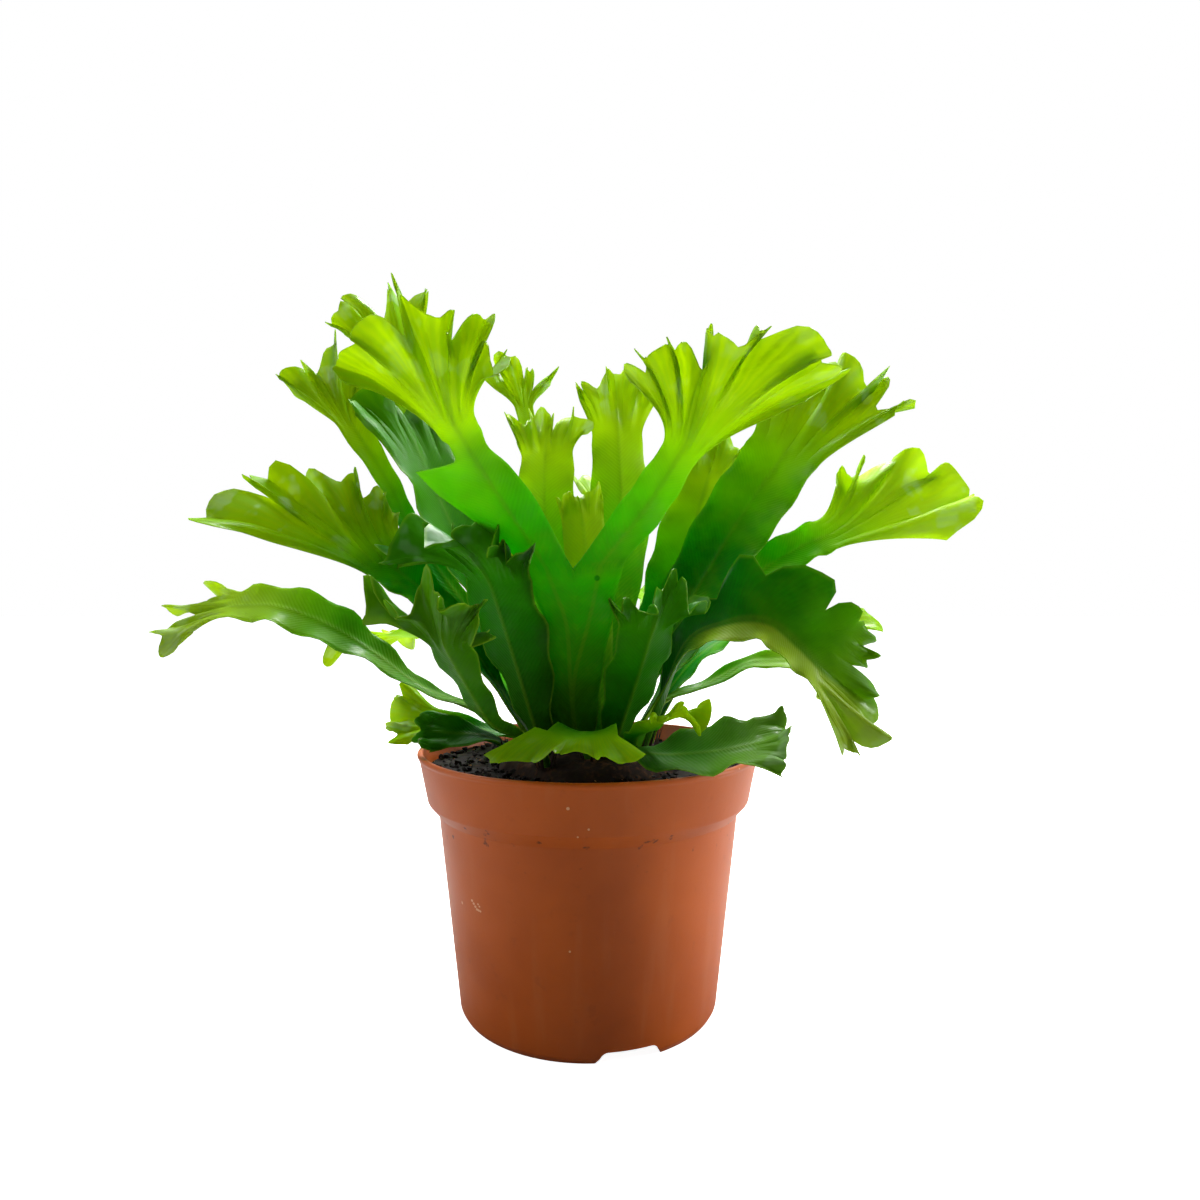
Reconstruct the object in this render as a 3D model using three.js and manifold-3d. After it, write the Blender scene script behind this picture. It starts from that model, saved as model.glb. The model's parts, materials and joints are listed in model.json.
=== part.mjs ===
import * as THREE from 'three';
import { mergeVertices } from 'three/addons/utils/BufferGeometryUtils.js';
import Module from 'manifold-3d';

// A crested bird's nest fern in a plastic nursery pot. Millimetres, +Z up, front towards -Y.
// The origin is on the floor, under the middle of the pot.

// Pot
const RIM_RADIUS = 60;
const RIM_HEIGHT = 90;
const RIM_BEAD = 0.8;
const RIM_BEAD_HEIGHT = 2;
const BAND_FOOT_RADIUS = 56.3;
const BAND_FOOT_HEIGHT = 73.3;
const BODY_TOP_RADIUS = 52.5;
const BODY_TOP_HEIGHT = 69;
const FOOT_RADIUS = 45;
const HEEL = 2;
const POT_WALL = 1.2;
const FLOOR_UNDERSIDE = 4.2;
const FLOOR_THICKNESS = 1.4;
const POT_SIDES = 54;
const NOTCH_COUNT = 3;
const NOTCH_FIRST_ANGLE = -72.5;
const NOTCH_WIDTH = 22;
const NOTCH_TOP_WIDTH = 17;
const NOTCH_HEIGHT = 4;
const DRAIN_COUNT = 6;
const DRAIN_RADIUS = 3.5;
const DRAIN_RING_RADIUS = 26;

// Soil
const SOIL_GAP = 0.6;
const SOIL_EDGE_HEIGHT = 83.5;
const SOIL_SIDES = 36;

// Crown
const CROWN_RADIUS = 32;
const CROWN_TOP = 91;
const CROWN_SHOULDER = 85.5;
const CROWN_BOTTOM = 74;
const CROWN_SIDES = 28;
const SOCKET_RADIUS = 3.15;
const SOCKET_FLOOR = 77;
const SOCKET_SIDES = 8;
const STALK_FOOT = 78;
const STALK_NECK = 89;
const STALK_WIDTH = 3.8;
const RINGS = { inner: 5, middle: 12, outer: 20, edge: 28 };

// Fronds
const BLADE_THICKNESS = 0.8;
const STALK_THICKNESS = 2.4;
const RIB_THICKNESS = 0.7;
const NARROW_WIDTH = 8;
const STALK_ROWS = 3;
const FOLD = 0.22;
const FORK_FADE = 0.5;
const CREST_LOOSENESS = 0.3;
const CUT_SHARPNESS = 4;
const HEM_RISE = 0.12;
const TOOTH = 0.9;
const TEETH_PER_LOBE = 3;

const POT_BROWN = 0x8b4a26;
const SOIL_BLACK = 0x1c140d;
const CROWN_BROWN = 0x3a2412;
const LEAF_GREEN = 0x3fa000;
const LEAF_LIGHT = 0x8cd000;
const LEAF_DARK = 0x0f5a08;
const LEAF_PALE = 0xb5d870;

const DEGREE = Math.PI / 180;

// A frond stands in a ring of the crown at an azimuth and follows its line. Each row of a line is
// x, y, z, blade width, roll in degrees. A crest is the ruffled fan that ends a limb: the reach of
// each lobe from one side to the other, the angles of the two sides, how deep the cuts between the
// lobes are, the height of the ruffles and the droop in degrees. A hem gives one side a leaning spur,
// or widens it and cuts lobes into it. A fold is how steeply the two halves of a blade rise.
const FRONDS = [
  {
    name: 'frond_front_tall', ring: 'middle', azimuth: 270, heading: -90, seed: 11, colour: LEAF_GREEN,
    line: [[-4, -17, 98, 14, 0], [-5, -26, 116, 19, 0], [-3, -38, 136, 22, 0], [-4, -49, 152, 31, 0]],
    forks: [
      {
        line: [[17.5, -60, 170, 13, 0], [26, -67, 183, 11, 0]],
        crest: { lobes: [45, 47, 41, 34, 30, 29, 23], from: -37, to: 88, cut: 0.24, wave: 5, droop: 18 },
      },
      {
        line: [[-23, -60, 170, 17, 0], [-31, -66, 183, 10, 0], [-35, -71, 190, 12, 0]],
        hem: { side: 1, spur: 11, lean: 12, at: 0.55, below: 0.55, above: 0.24 },
        crest: { lobes: [20, 27, 31, 38, 35, 31], from: -82, to: 34, cut: 0.2, wave: 5, droop: 14 },
      },
    ],
  },
  {
    name: 'frond_centre_curled', ring: 'inner', azimuth: 165, heading: -100, seed: 12, colour: LEAF_LIGHT,
    line: [[-8, 3, 104, 10, 0], [-14, 5, 140, 18, 0], [-16, 9, 172, 21, 0], [-16, 12, 196, 20, 0]],
    crest: { lobes: [14, 20, 15, 21, 16], from: -40, to: 40, cut: 0.45, wave: 5, droop: -30 },
  },
  {
    name: 'frond_centre_right', ring: 'inner', azimuth: 75, heading: -80, seed: 13, colour: LEAF_LIGHT,
    line: [[4, 8, 106, 10, 0], [8, 12, 142, 21, 0], [12, 16, 175, 23, 0], [11, 22, 205, 19, 0]],
    crest: { lobes: [22, 26, 24, 20], from: -36, to: 36, cut: 0.3, wave: 5, droop: 10 },
  },
  {
    name: 'frond_centre_blunt', ring: 'inner', azimuth: 345, heading: -90, seed: 14, colour: LEAF_LIGHT,
    line: [[4, -2, 105, 8, 0], [1, -3, 140, 15, 0], [-2, -1, 170, 15, 0]],
    crest: { lobes: [11, 9], from: -10, to: 10, cut: 0.15, wave: 2, droop: -10 },
  },
  {
    name: 'frond_back_slim', ring: 'middle', azimuth: 114, heading: 110, seed: 15, colour: LEAF_GREEN,
    line: [[-9, 20, 108, 8, 0], [-13, 30, 145, 9, 0], [-22, 48, 194, 8, 0], [-28, 58, 222, 8, 0]],
    crest: { lobes: [18, 25, 17, 21], from: -60, to: 65, cut: 0.5, wave: 4, droop: -20 },
  },
  {
    name: 'frond_left_top', ring: 'outer', azimuth: 139, heading: 160, seed: 16, colour: LEAF_GREEN,
    line: [[-22, 17, 104, 9, 10], [-40, 21, 150, 14, 20], [-60, 25, 198, 16, 40], [-73, 28, 233, 17, 50]],
    crest: { lobes: [26, 35, 28, 34], from: -45, to: 40, cut: 0.4, wave: 5, droop: 5 },
  },
  {
    name: 'frond_left_high', ring: 'middle', azimuth: 152, heading: 175, seed: 17, colour: LEAF_GREEN,
    line: [
      [-16, 7, 102, 7, 10], [-40, 6, 133, 7, 40], [-63, 6, 165, 8, 50], [-72.5, 7, 184, 8, 55],
      [-86.5, 9, 206, 11, 60],
    ],
    crest: { lobes: [28, 29, 32, 26, 20, 17], from: -31, to: 95, cut: 0.28, wave: 4, droop: 12 },
  },
  {
    name: 'frond_left_broad', ring: 'outer', azimuth: 203, heading: 187, seed: 18, colour: LEAF_GREEN,
    line: [
      [-25, -10, 102, 7, 10], [-40, -16, 127, 11, 40], [-55, -20, 145, 14, 55], [-66, -20.5, 154, 18, 60],
    ],
    crest: { lobes: [58, 50, 42, 34, 26, 14], from: -26, to: 92, cut: 0.28, wave: 4, droop: 6 },
  },
  {
    name: 'frond_left_arching', ring: 'outer', azimuth: 182, heading: 188, seed: 19, colour: LEAF_PALE,
    line: [
      [-28, -4, 97, 5, 0], [-42, -10, 105.5, 6, 10], [-57, -16, 113, 9, 20], [-72, -20, 125, 13, 35],
      [-86, -22, 134, 17, 50], [-103, -21, 140, 17, 45], [-119, -18, 140, 15, 40],
    ],
    crest: { lobes: [21, 23, 25, 14], from: -52, to: 30, cut: 0.4, wave: 4, droop: 25 },
  },
  {
    name: 'frond_left_dark', ring: 'outer', azimuth: 224, heading: 240, seed: 20, colour: LEAF_DARK,
    line: [[-18, -21, 103, 13, 0], [-24, -32, 127, 26, 0], [-29, -43, 147, 25, 0]],
    crest: { lobes: [14, 18, 22, 24, 28, 33], from: -60, to: 110, cut: 0.22, wave: 4, droop: 25 },
  },
  {
    name: 'frond_front_left', ring: 'edge', azimuth: 240, heading: 245, seed: 21, colour: LEAF_GREEN,
    line: [[-20, -30, 97, 8, 0], [-29, -43, 105, 9, 0], [-34, -53, 116, 11, 0], [-39, -62, 128, 15, 0]],
    crest: { lobes: [14, 19, 25, 24, 20, 26], from: -100, to: 42, cut: 0.28, wave: 4, droop: 10 },
  },
  {
    name: 'frond_left_small', ring: 'outer', azimuth: 161, heading: 178, seed: 22, colour: LEAF_GREEN,
    line: [[-25, 6, 92, 6, 0], [-40, 4, 95, 9, 30], [-54, 2, 98, 11, 50]],
    crest: { lobes: [15, 18, 15], from: -35, to: 45, cut: 0.25, wave: 2, droop: 15 },
  },
  {
    name: 'frond_left_rim', ring: 'edge', azimuth: 196, heading: 200, seed: 34, colour: LEAF_DARK,
    line: [[-36, -11, 95, 9, 20], [-47, -15, 97, 13, 50]],
    crest: { lobes: [9, 11, 9], from: -20, to: 30, cut: 0.15, wave: 1.5, droop: 10 },
  },
  {
    name: 'frond_front_low', ring: 'outer', azimuth: 273, heading: -91, seed: 23, colour: LEAF_LIGHT,
    line: [[1, -25, 96, 10, 0], [0, -38, 101, 17, 0], [-3, -54, 102, 25, 0]],
    crest: { lobes: [15, 10, 11, 18], from: -55, to: 60, cut: 0.1, wave: 2.5, droop: 60 },
  },
  {
    name: 'frond_front_dark', ring: 'outer', azimuth: 324, heading: -58, seed: 33, colour: LEAF_GREEN,
    line: [[16, -22, 97, 8, 0], [19, -33, 101, 11, 0], [24, -43, 106, 12, 0]],
    crest: { lobes: [10, 9, 8], from: -50, to: 40, cut: 0.2, wave: 2, droop: 20 },
  },
  {
    name: 'frond_right_low', ring: 'outer', azimuth: 300, heading: -38, seed: 24, colour: LEAF_DARK,
    line: [[14, -24, 92, 10, 0], [26, -34, 93, 20, -25], [40, -43, 96, 24, -35], [50, -48, 99, 22, -35]],
    crest: { lobes: [9, 12, 10], from: -20, to: 20, cut: 0.12, wave: 1.5, droop: 5 },
  },
  {
    name: 'frond_right_arching', ring: 'outer', azimuth: 348, heading: -10, seed: 25, colour: LEAF_DARK,
    line: [
      [25, -9, 105, 9, 0], [33.5, -16, 128, 14, -40], [45.5, -24, 135, 18, -55],
      [58.5, -28, 135.5, 19, -60], [68, -29, 128, 19, -60], [75, -29, 121, 18, -60],
    ],
    hem: { side: -1, start: 0.53, lobes: 3, cut: 0.35, widen: 2.2 },
    crest: { lobes: [9, 13, 19, 27, 30, 27], from: -60, to: 21, cut: 0.25, wave: 4, droop: 10 },
    fold: 0.4,
  },
  {
    name: 'frond_right_stalk', ring: 'outer', azimuth: 12, heading: 2, seed: 26, colour: LEAF_PALE,
    line: [[27, 4, 105, 5, 0], [43, 7, 111, 7, -20], [58.5, 6, 119, 8, -30], [71, 4, 120, 10, -40]],
    crest: { lobes: [20, 22, 20], from: -30, to: 30, cut: 0.35, wave: 3, droop: 60 },
  },
  {
    name: 'frond_right_light', ring: 'outer', azimuth: 37, heading: 0, seed: 27, colour: LEAF_LIGHT,
    line: [
      [25, 14, 104, 9, 0], [39, 15, 128, 21, -30], [57, 14, 147, 19, -50], [76, 13, 160, 15, -60],
      [88, 13, 165.5, 15, -60],
    ],
    crest: { lobes: [20, 31, 38, 48, 55, 54], from: -80, to: 18, cut: 0.22, wave: 4, droop: 10 },
  },
  {
    name: 'frond_right_high', ring: 'middle', azimuth: 5, heading: 12, seed: 28, colour: LEAF_GREEN,
    line: [[18, 3, 106, 10, 0], [34, 6, 136, 22, -40], [54, 11, 169, 28, -55], [73, 16, 196, 28, -55]],
    crest: { lobes: [32, 40, 43, 45, 50, 44], from: -52, to: 36, cut: 0.24, wave: 5, droop: 12 },
  },
  {
    name: 'frond_right_twisted', ring: 'middle', azimuth: 42, heading: 35, seed: 29, colour: LEAF_GREEN,
    line: [[16, 13, 106, 9, 0], [30, 21, 140, 22, -20], [40, 29, 168, 25, -35], [47, 36, 190, 20, -40]],
    crest: { lobes: [18, 22, 20, 18], from: -35, to: 35, cut: 0.35, wave: 4, droop: 20 },
  },
  {
    name: 'frond_front_small', ring: 'middle', azimuth: 308, heading: -62, seed: 30, colour: LEAF_DARK,
    line: [[11, -17, 100, 13, 0], [16, -28, 117, 21, 0], [20, -38, 132, 20, 0]],
    crest: { lobes: [14, 17, 16, 13], from: -50, to: 50, cut: 0.3, wave: 4, droop: 15 },
  },
  {
    name: 'frond_left_upright', ring: 'middle', azimuth: 192, heading: 200, seed: 31, colour: LEAF_DARK,
    line: [[-18, -5, 104, 12, 20], [-31, -8, 132, 22, 40], [-45, -8, 162, 28, 50], [-58, -5, 190, 30, 50]],
    crest: { lobes: [24, 30, 26, 30, 26], from: -30, to: 40, cut: 0.25, wave: 4, droop: 15 },
  },
  {
    name: 'frond_left_edge', ring: 'inner', azimuth: 255, heading: 215, seed: 32, colour: LEAF_LIGHT,
    line: [[-8, -7, 106, 8, 0], [-19, -7, 128, 10, -40], [-27, -7, 152, 8, -60]],
    crest: { lobes: [14, 12], from: -20, to: 20, cut: 0.2, wave: 1, droop: 10 },
  },
];

// The fronds at the back, which the front ones hide, each one standing and heading along its azimuth.
// They rise at one elevation in degrees and end at another.
const BACK_FRONDS = [
  { ring: 'outer', azimuth: 62, seed: 41, colour: LEAF_GREEN, rise: 62, fall: 22, length: 76, width: 28 },
  { ring: 'outer', azimuth: 88, seed: 42, colour: LEAF_DARK, rise: 56, fall: 2, length: 60, width: 26 },
  { ring: 'outer', azimuth: 113, seed: 43, colour: LEAF_GREEN, rise: 62, fall: 18, length: 64, width: 28 },
  { ring: 'edge', azimuth: 35, seed: 45, colour: LEAF_GREEN, rise: 56, fall: 12, length: 80, width: 28 },
  { ring: 'edge', azimuth: 141, seed: 48, colour: LEAF_LIGHT, rise: 56, fall: 0, length: 84, width: 26 },
  { ring: 'middle', azimuth: 78, seed: 44, colour: LEAF_LIGHT, rise: 74, fall: 54, length: 100, width: 28 },
];

/** A back frond's full record, with its line, lobes and name worked out. */
function arched({ ring, azimuth, seed, colour, rise, fall, length, width }) {
  const out = [Math.cos(azimuth * DEGREE), Math.sin(azimuth * DEGREE)];
  const steps = 4;
  let [reach, height] = [RINGS[ring], STALK_NECK];
  const line = [];
  for (let i = 0; i < steps; i += 1) {
    const lean = (rise + (fall - rise) * i / (steps - 1)) * DEGREE;
    reach += length / steps * Math.cos(lean);
    height += length / steps * Math.sin(lean);
    const sway = 3 * Math.sin(i + seed);
    const wide = width * (0.35 + 0.65 * ease((i + 0.5) / steps));
    line.push([reach * out[0] - sway * out[1], reach * out[1] + sway * out[0], height, wide, 0]);
  }
  const lobes = [0, 1, 2, 3, 4].map((lobe) => width * (0.75 + 0.5 * draw(seed, lobe + 60)));
  const crest = { lobes, from: -50, to: 50, cut: 0.35, wave: 4, droop: 20 };
  return { name: `frond_back_${azimuth}`, ring, azimuth, heading: azimuth, seed, colour, line, crest };
}

const wasm = await Module();
wasm.setup();

/** A steady draw between 0 and 1 for one seed and one count. */
function draw(seed, count) {
  const value = Math.sin(seed * 12.9898 + count * 78.233) * 43758.5453;
  return value - Math.floor(value);
}

/** A soft step from 0 to 1. */
function ease(value) {
  const clamped = Math.min(Math.max(value, 0), 1);
  return clamped * clamped * (3 - 2 * clamped);
}

/** A smooth value through one column of a line, with the place running from 0 to 1. */
function along(line, column, place) {
  const last = line.length - 1;
  const spot = Math.min(Math.max(place, 0), 1) * last;
  const index = Math.min(Math.floor(spot), last - 1);
  const rest = spot - index;
  const value = (row) => {
    if (row < 0) return 2 * line[0][column] - line[1][column];
    if (row > last) return 2 * line[last][column] - line[last - 1][column];
    return line[row][column];
  };
  const [a, b, c, d] = [value(index - 1), value(index), value(index + 1), value(index + 2)];
  const cubic = 3 * b - a - 3 * c + d;
  const square = 2 * a - 5 * b + 4 * c - d;
  return b + 0.5 * ((c - a) * rest + square * rest ** 2 + cubic * rest ** 3);
}

/** Centre, run, side and face directions of a limb at one place. */
function frameAt(limb, place) {
  const spot = (where) => new THREE.Vector3(...[0, 1, 2].map((axis) => along(limb.line, axis, where)));
  const step = 0.01;
  const run = spot(Math.min(place + step, 1)).sub(spot(Math.max(place - step, 0))).normalize();
  const level = new THREE.Vector3(Math.sin(limb.heading), -Math.cos(limb.heading), 0);
  const side = level.addScaledVector(run, -level.dot(run)).normalize();
  side.applyAxisAngle(run, -along(limb.line, 4, place) * DEGREE);
  const face = side.clone().cross(run);
  return { centre: spot(place), run, side, face };
}

/** Turns a frond's record into its trunk limb, with its branches hung on it. */
function plant(frond) {
  const azimuth = frond.azimuth * DEGREE;
  const radius = RINGS[frond.ring];
  const foot = [radius * Math.cos(azimuth), radius * Math.sin(azimuth)];
  const rows = [
    [...foot, STALK_FOOT, STALK_WIDTH, 0],
    [...foot, STALK_NECK, STALK_WIDTH, 0],
    ...frond.line,
  ];
  const trunk = { fold: FOLD, ...frond, line: rows, heading: frond.heading * DEGREE };
  trunk.forks = (frond.forks ?? []).map((fork, index) => {
    const hand = index === 0 ? -1 : 1;
    const end = frameAt(trunk, 1);
    const width = along(rows, 3, 1) / 2;
    const start = end.centre.clone().addScaledVector(end.side, hand * width / 2);
    const line = [[start.x, start.y, start.z, width, rows[rows.length - 1][4]], ...fork.line];
    const seed = frond.seed + index + 0.5;
    return { ...fork, line, hand, parent: trunk, heading: trunk.heading, fold: trunk.fold, seed };
  });
  return trunk;
}

/** A point of a limb's blade before its crest: place along it and t across it, from -1 to 1. */
function bladePoint(limb, place, t) {
  const { centre, run, side, face } = frameAt(limb, place);
  const [half, lean] = hemReach(limb.hem, along(limb.line, 3, place) / 2, place, t);
  const lift = limb.fold * half * Math.abs(t) ** 1.5;
  return centre.addScaledVector(side, t * half).addScaledVector(face, lift).addScaledVector(run, lean);
}

/** Half a blade's width at t with its hem, and how far the hem leans along the blade there. */
function hemReach(hem, half, place, t) {
  if (!hem || Math.sign(t) !== hem.side) return [half, 0];
  if (hem.spur) {
    const off = place - hem.at;
    const peak = Math.max(0, 1 - (off < 0 ? -off / hem.below : off / hem.above)) * t * t;
    return [half + hem.spur * peak, hem.lean * peak];
  }
  const past = Math.max(0, place - hem.start);
  const cuts = past > 0 ? hem.cut * cutAt(past / (1 - hem.start) * hem.lobes) * Math.abs(t) : 0;
  return [half * (1 + (hem.widen - 1) * ease(past / HEM_RISE)) * (1 - cuts), 0];
}

/** A point of a limb, eased out of its parent's last row where it is a branch. */
function limbPoint(limb, place, t) {
  const point = bladePoint(limb, place, t);
  const left = limb.parent ? 1 - ease(place / FORK_FADE) : 0;
  if (left > 0) {
    const wanted = bladePoint(limb.parent, 1, (t + limb.hand) / 2);
    point.addScaledVector(wanted.sub(bladePoint(limb, 0, t)), left);
  }
  return point;
}

/** How deep a cut between lobes is at a phase: 1 in the cut itself and near 0 over the lobes. */
function cutAt(phase) {
  return (0.5 + 0.5 * Math.cos(2 * Math.PI * phase)) ** CUT_SHARPNESS;
}

/** How far the crest reaches at t, with its lobes and the cuts between them. */
function crestReach(limb, t) {
  const { lobes, cut } = limb.crest;
  const phase = (t + 1) / 2 * lobes.length;
  const lobe = Math.min(Math.floor(phase), lobes.length - 1);
  const nearest = Math.round(phase);
  const here = lobes[lobe];
  const next = lobes[Math.min(Math.max(nearest - (nearest > lobe ? 0 : 1), 0), lobes.length - 1)];
  const share = ease(1 - 2 * Math.abs(phase - nearest)) / 2;
  const depth = cut * (0.3 + 0.9 * draw(limb.seed, nearest));
  const tooth = TOOTH * Math.cos(2 * Math.PI * TEETH_PER_LOBE * phase);
  return (here + (next - here) * share) * (1 - depth * cutAt(phase)) - tooth;
}

/** A point of the crest: t across it and share out from the blade's end to its edge. */
function crestPoint(limb, t, share) {
  const { centre, run, side, face } = frameAt(limb, 1);
  const { lobes, from, to, wave, droop } = limb.crest;
  const reach = Math.max(...lobes);
  const wide = limb.hem?.widen && Math.sign(t) === limb.hem.side ? limb.hem.widen : 1;
  const half = along(limb.line, 3, 1) / 2 * wide;
  const out = share * crestReach(limb, t);
  const turn = (from + (to - from) * (t + 1) / 2) * DEGREE * out / (out + CREST_LOOSENESS * reach);
  const ahead = out * Math.cos(turn);
  const across = t * half + out * Math.sin(turn);
  const bend = droop * DEGREE / reach;
  const angle = bend * ahead;
  const far = Math.abs(bend) > 1e-6 ? Math.sin(angle) / bend : ahead;
  const drop = Math.abs(bend) > 1e-6 ? (1 - Math.cos(angle)) / bend : 0;
  const up = face.clone().multiplyScalar(Math.cos(angle)).addScaledVector(run, Math.sin(angle));
  const fold = limb.fold * half * Math.abs(t) ** 1.5 * (1 - share);
  const phase = (t + 1) / 2 * lobes.length + draw(limb.seed, 40);
  const ruffle = wave * (out / reach) ** 1.5 * Math.sin(Math.PI * phase);
  return centre
    .addScaledVector(side, across)
    .addScaledVector(run, far)
    .addScaledVector(face, -drop)
    .addScaledVector(up, fold + ruffle);
}

/** A thin sheet that grows row by row; each row may have its own number of columns. */
class Sheet {
  constructor() {
    this.points = [];
    this.thickness = [];
    this.faces = [];
  }

  /** Adds a row of points and gives back their numbers with their places across. */
  row(places, pointAt, thicknessAt) {
    return places.map((t) => {
      this.points.push(pointAt(t));
      this.thickness.push(thicknessAt(t));
      return { t, id: this.points.length - 1 };
    });
  }

  /** Fills the strip between two rows with triangles. */
  join(lower, upper) {
    let [i, j] = [0, 0];
    while (i < lower.length - 1 || j < upper.length - 1) {
      const nextLower = i < lower.length - 1 ? lower[i + 1].t + lower[i].t : Infinity;
      const nextUpper = j < upper.length - 1 ? upper[j + 1].t + upper[j].t : Infinity;
      if (nextLower <= nextUpper) {
        this.faces.push([lower[i].id, lower[i + 1].id, upper[j].id]);
        i += 1;
      } else {
        this.faces.push([lower[i].id, upper[j + 1].id, upper[j].id]);
        j += 1;
      }
    }
  }

  /** Thickens the sheet to both sides into one closed shell. */
  solid() {
    const normals = this.points.map(() => new THREE.Vector3());
    const edges = new Map();
    for (const [a, b, c] of this.faces) {
      const first = this.points[b].clone().sub(this.points[a]);
      const normal = first.cross(this.points[c].clone().sub(this.points[a]));
      for (const id of [a, b, c]) normals[id].add(normal);
      for (const [p, q] of [[a, b], [b, c], [c, a]]) edges.set(`${p},${q}`, [p, q]);
    }
    const positions = [];
    for (const hand of [0.5, -0.5]) {
      this.points.forEach((point, id) => {
        const shift = normals[id].clone().normalize().multiplyScalar(hand * this.thickness[id]);
        positions.push(...point.clone().add(shift).toArray());
      });
    }
    const count = this.points.length;
    const index = [];
    for (const [a, b, c] of this.faces) {
      index.push(a, b, c, a + count, c + count, b + count);
    }
    for (const [p, q] of edges.values()) {
      if (!edges.has(`${q},${p}`)) index.push(p, p + count, q + count, p, q + count, q);
    }
    const geometry = new THREE.BufferGeometry();
    geometry.setAttribute('position', new THREE.Float32BufferAttribute(positions, 3));
    geometry.setIndex(index);
    return geometry;
  }
}

/** Evenly spread places across a row, from -1 to 1. */
function spread(columns) {
  return Array.from({ length: columns + 1 }, (_, i) => -1 + 2 * i / columns);
}

/** Grows one limb onto the sheet from a row that is already there, then its branches or its crest. */
function growLimb(sheet, limb, start) {
  const rows = (limb.line.length - 1) * (limb.hem ? 3 : 2);
  let last = start;
  for (let i = 1; i <= rows; i += 1) {
    const place = i / rows;
    const wide = along(limb.line, 3, place);
    const columns = wide < NARROW_WIDTH ? 2 : 4;
    const thickness = (t) => {
      const rise = limb.parent ? 1 : ease(place * (limb.line.length - 1) / STALK_ROWS);
      const body = STALK_THICKNESS + (BLADE_THICKNESS - STALK_THICKNESS) * rise;
      return body + (Math.abs(t) < 0.01 ? RIB_THICKNESS * (1 - place) : 0);
    };
    const next = sheet.row(spread(columns), (t) => limbPoint(limb, place, t), thickness);
    sheet.join(last, next);
    last = next;
  }
  if (limb.crest) {
    growCrest(sheet, limb, last);
  }
  const middle = (last.length - 1) / 2;
  (limb.forks ?? []).forEach((fork) => {
    const half = fork.hand < 0 ? last.slice(0, middle + 1) : last.slice(middle);
    growLimb(sheet, fork, half.map(({ t, id }) => ({ t: t * 2 - fork.hand, id })));
  });
}

/** Grows the ruffled fan at the end of a limb. */
function growCrest(sheet, limb, start) {
  const lobes = limb.crest.lobes.length;
  const steps = [[0.35, lobes], [0.65, lobes * 2], [0.85, lobes * 4], [1, lobes * 2 * TEETH_PER_LOBE]];
  let last = start;
  for (const [share, columns] of steps) {
    const next = sheet.row(spread(columns), (t) => crestPoint(limb, t, share), () => BLADE_THICKNESS);
    sheet.join(last, next);
    last = next;
  }
}

/** One whole frond as a closed shell. */
function frondShape(frond) {
  const limb = plant(frond);
  const sheet = new Sheet();
  const foot = sheet.row(spread(2), (t) => limbPoint(limb, 0, t), () => STALK_THICKNESS);
  growLimb(sheet, limb, foot);
  return sheet.solid();
}

/** A manifold solid from a geometry with shared corners. */
function toSolid(geometry) {
  const plain = geometry.clone();
  plain.deleteAttribute('normal');
  plain.deleteAttribute('uv');
  const merged = mergeVertices(plain, 1e-4);
  const corners = merged.index.array;
  const kept = [];
  for (let i = 0; i < corners.length; i += 3) {
    const [a, b, c] = [corners[i], corners[i + 1], corners[i + 2]];
    if (a !== b && b !== c && c !== a) kept.push(a, b, c);
  }
  return new wasm.Manifold(new wasm.Mesh({
    numProp: 3,
    vertProperties: new Float32Array(merged.attributes.position.array),
    triVerts: new Uint32Array(kept),
  }));
}

/** A geometry from a manifold solid. */
function toGeometry(solid) {
  const mesh = solid.getMesh();
  const geometry = new THREE.BufferGeometry();
  geometry.setAttribute('position', new THREE.Float32BufferAttribute(mesh.vertProperties, 3));
  geometry.setIndex([...mesh.triVerts]);
  return geometry;
}

/** A turned solid from a closed profile of radius and height. */
function turned(profile, sides) {
  const points = [...profile, profile[0]].map(([radius, height]) => new THREE.Vector2(radius, height));
  return toSolid(new THREE.LatheGeometry(points, sides).rotateX(Math.PI / 2));
}

/** A named mesh in one colour. */
function part(name, geometry, colour, roughness) {
  const material = new THREE.MeshStandardMaterial({ color: colour, roughness, metalness: 0 });
  const mesh = new THREE.Mesh(geometry, material);
  mesh.name = name;
  return mesh;
}

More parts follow.
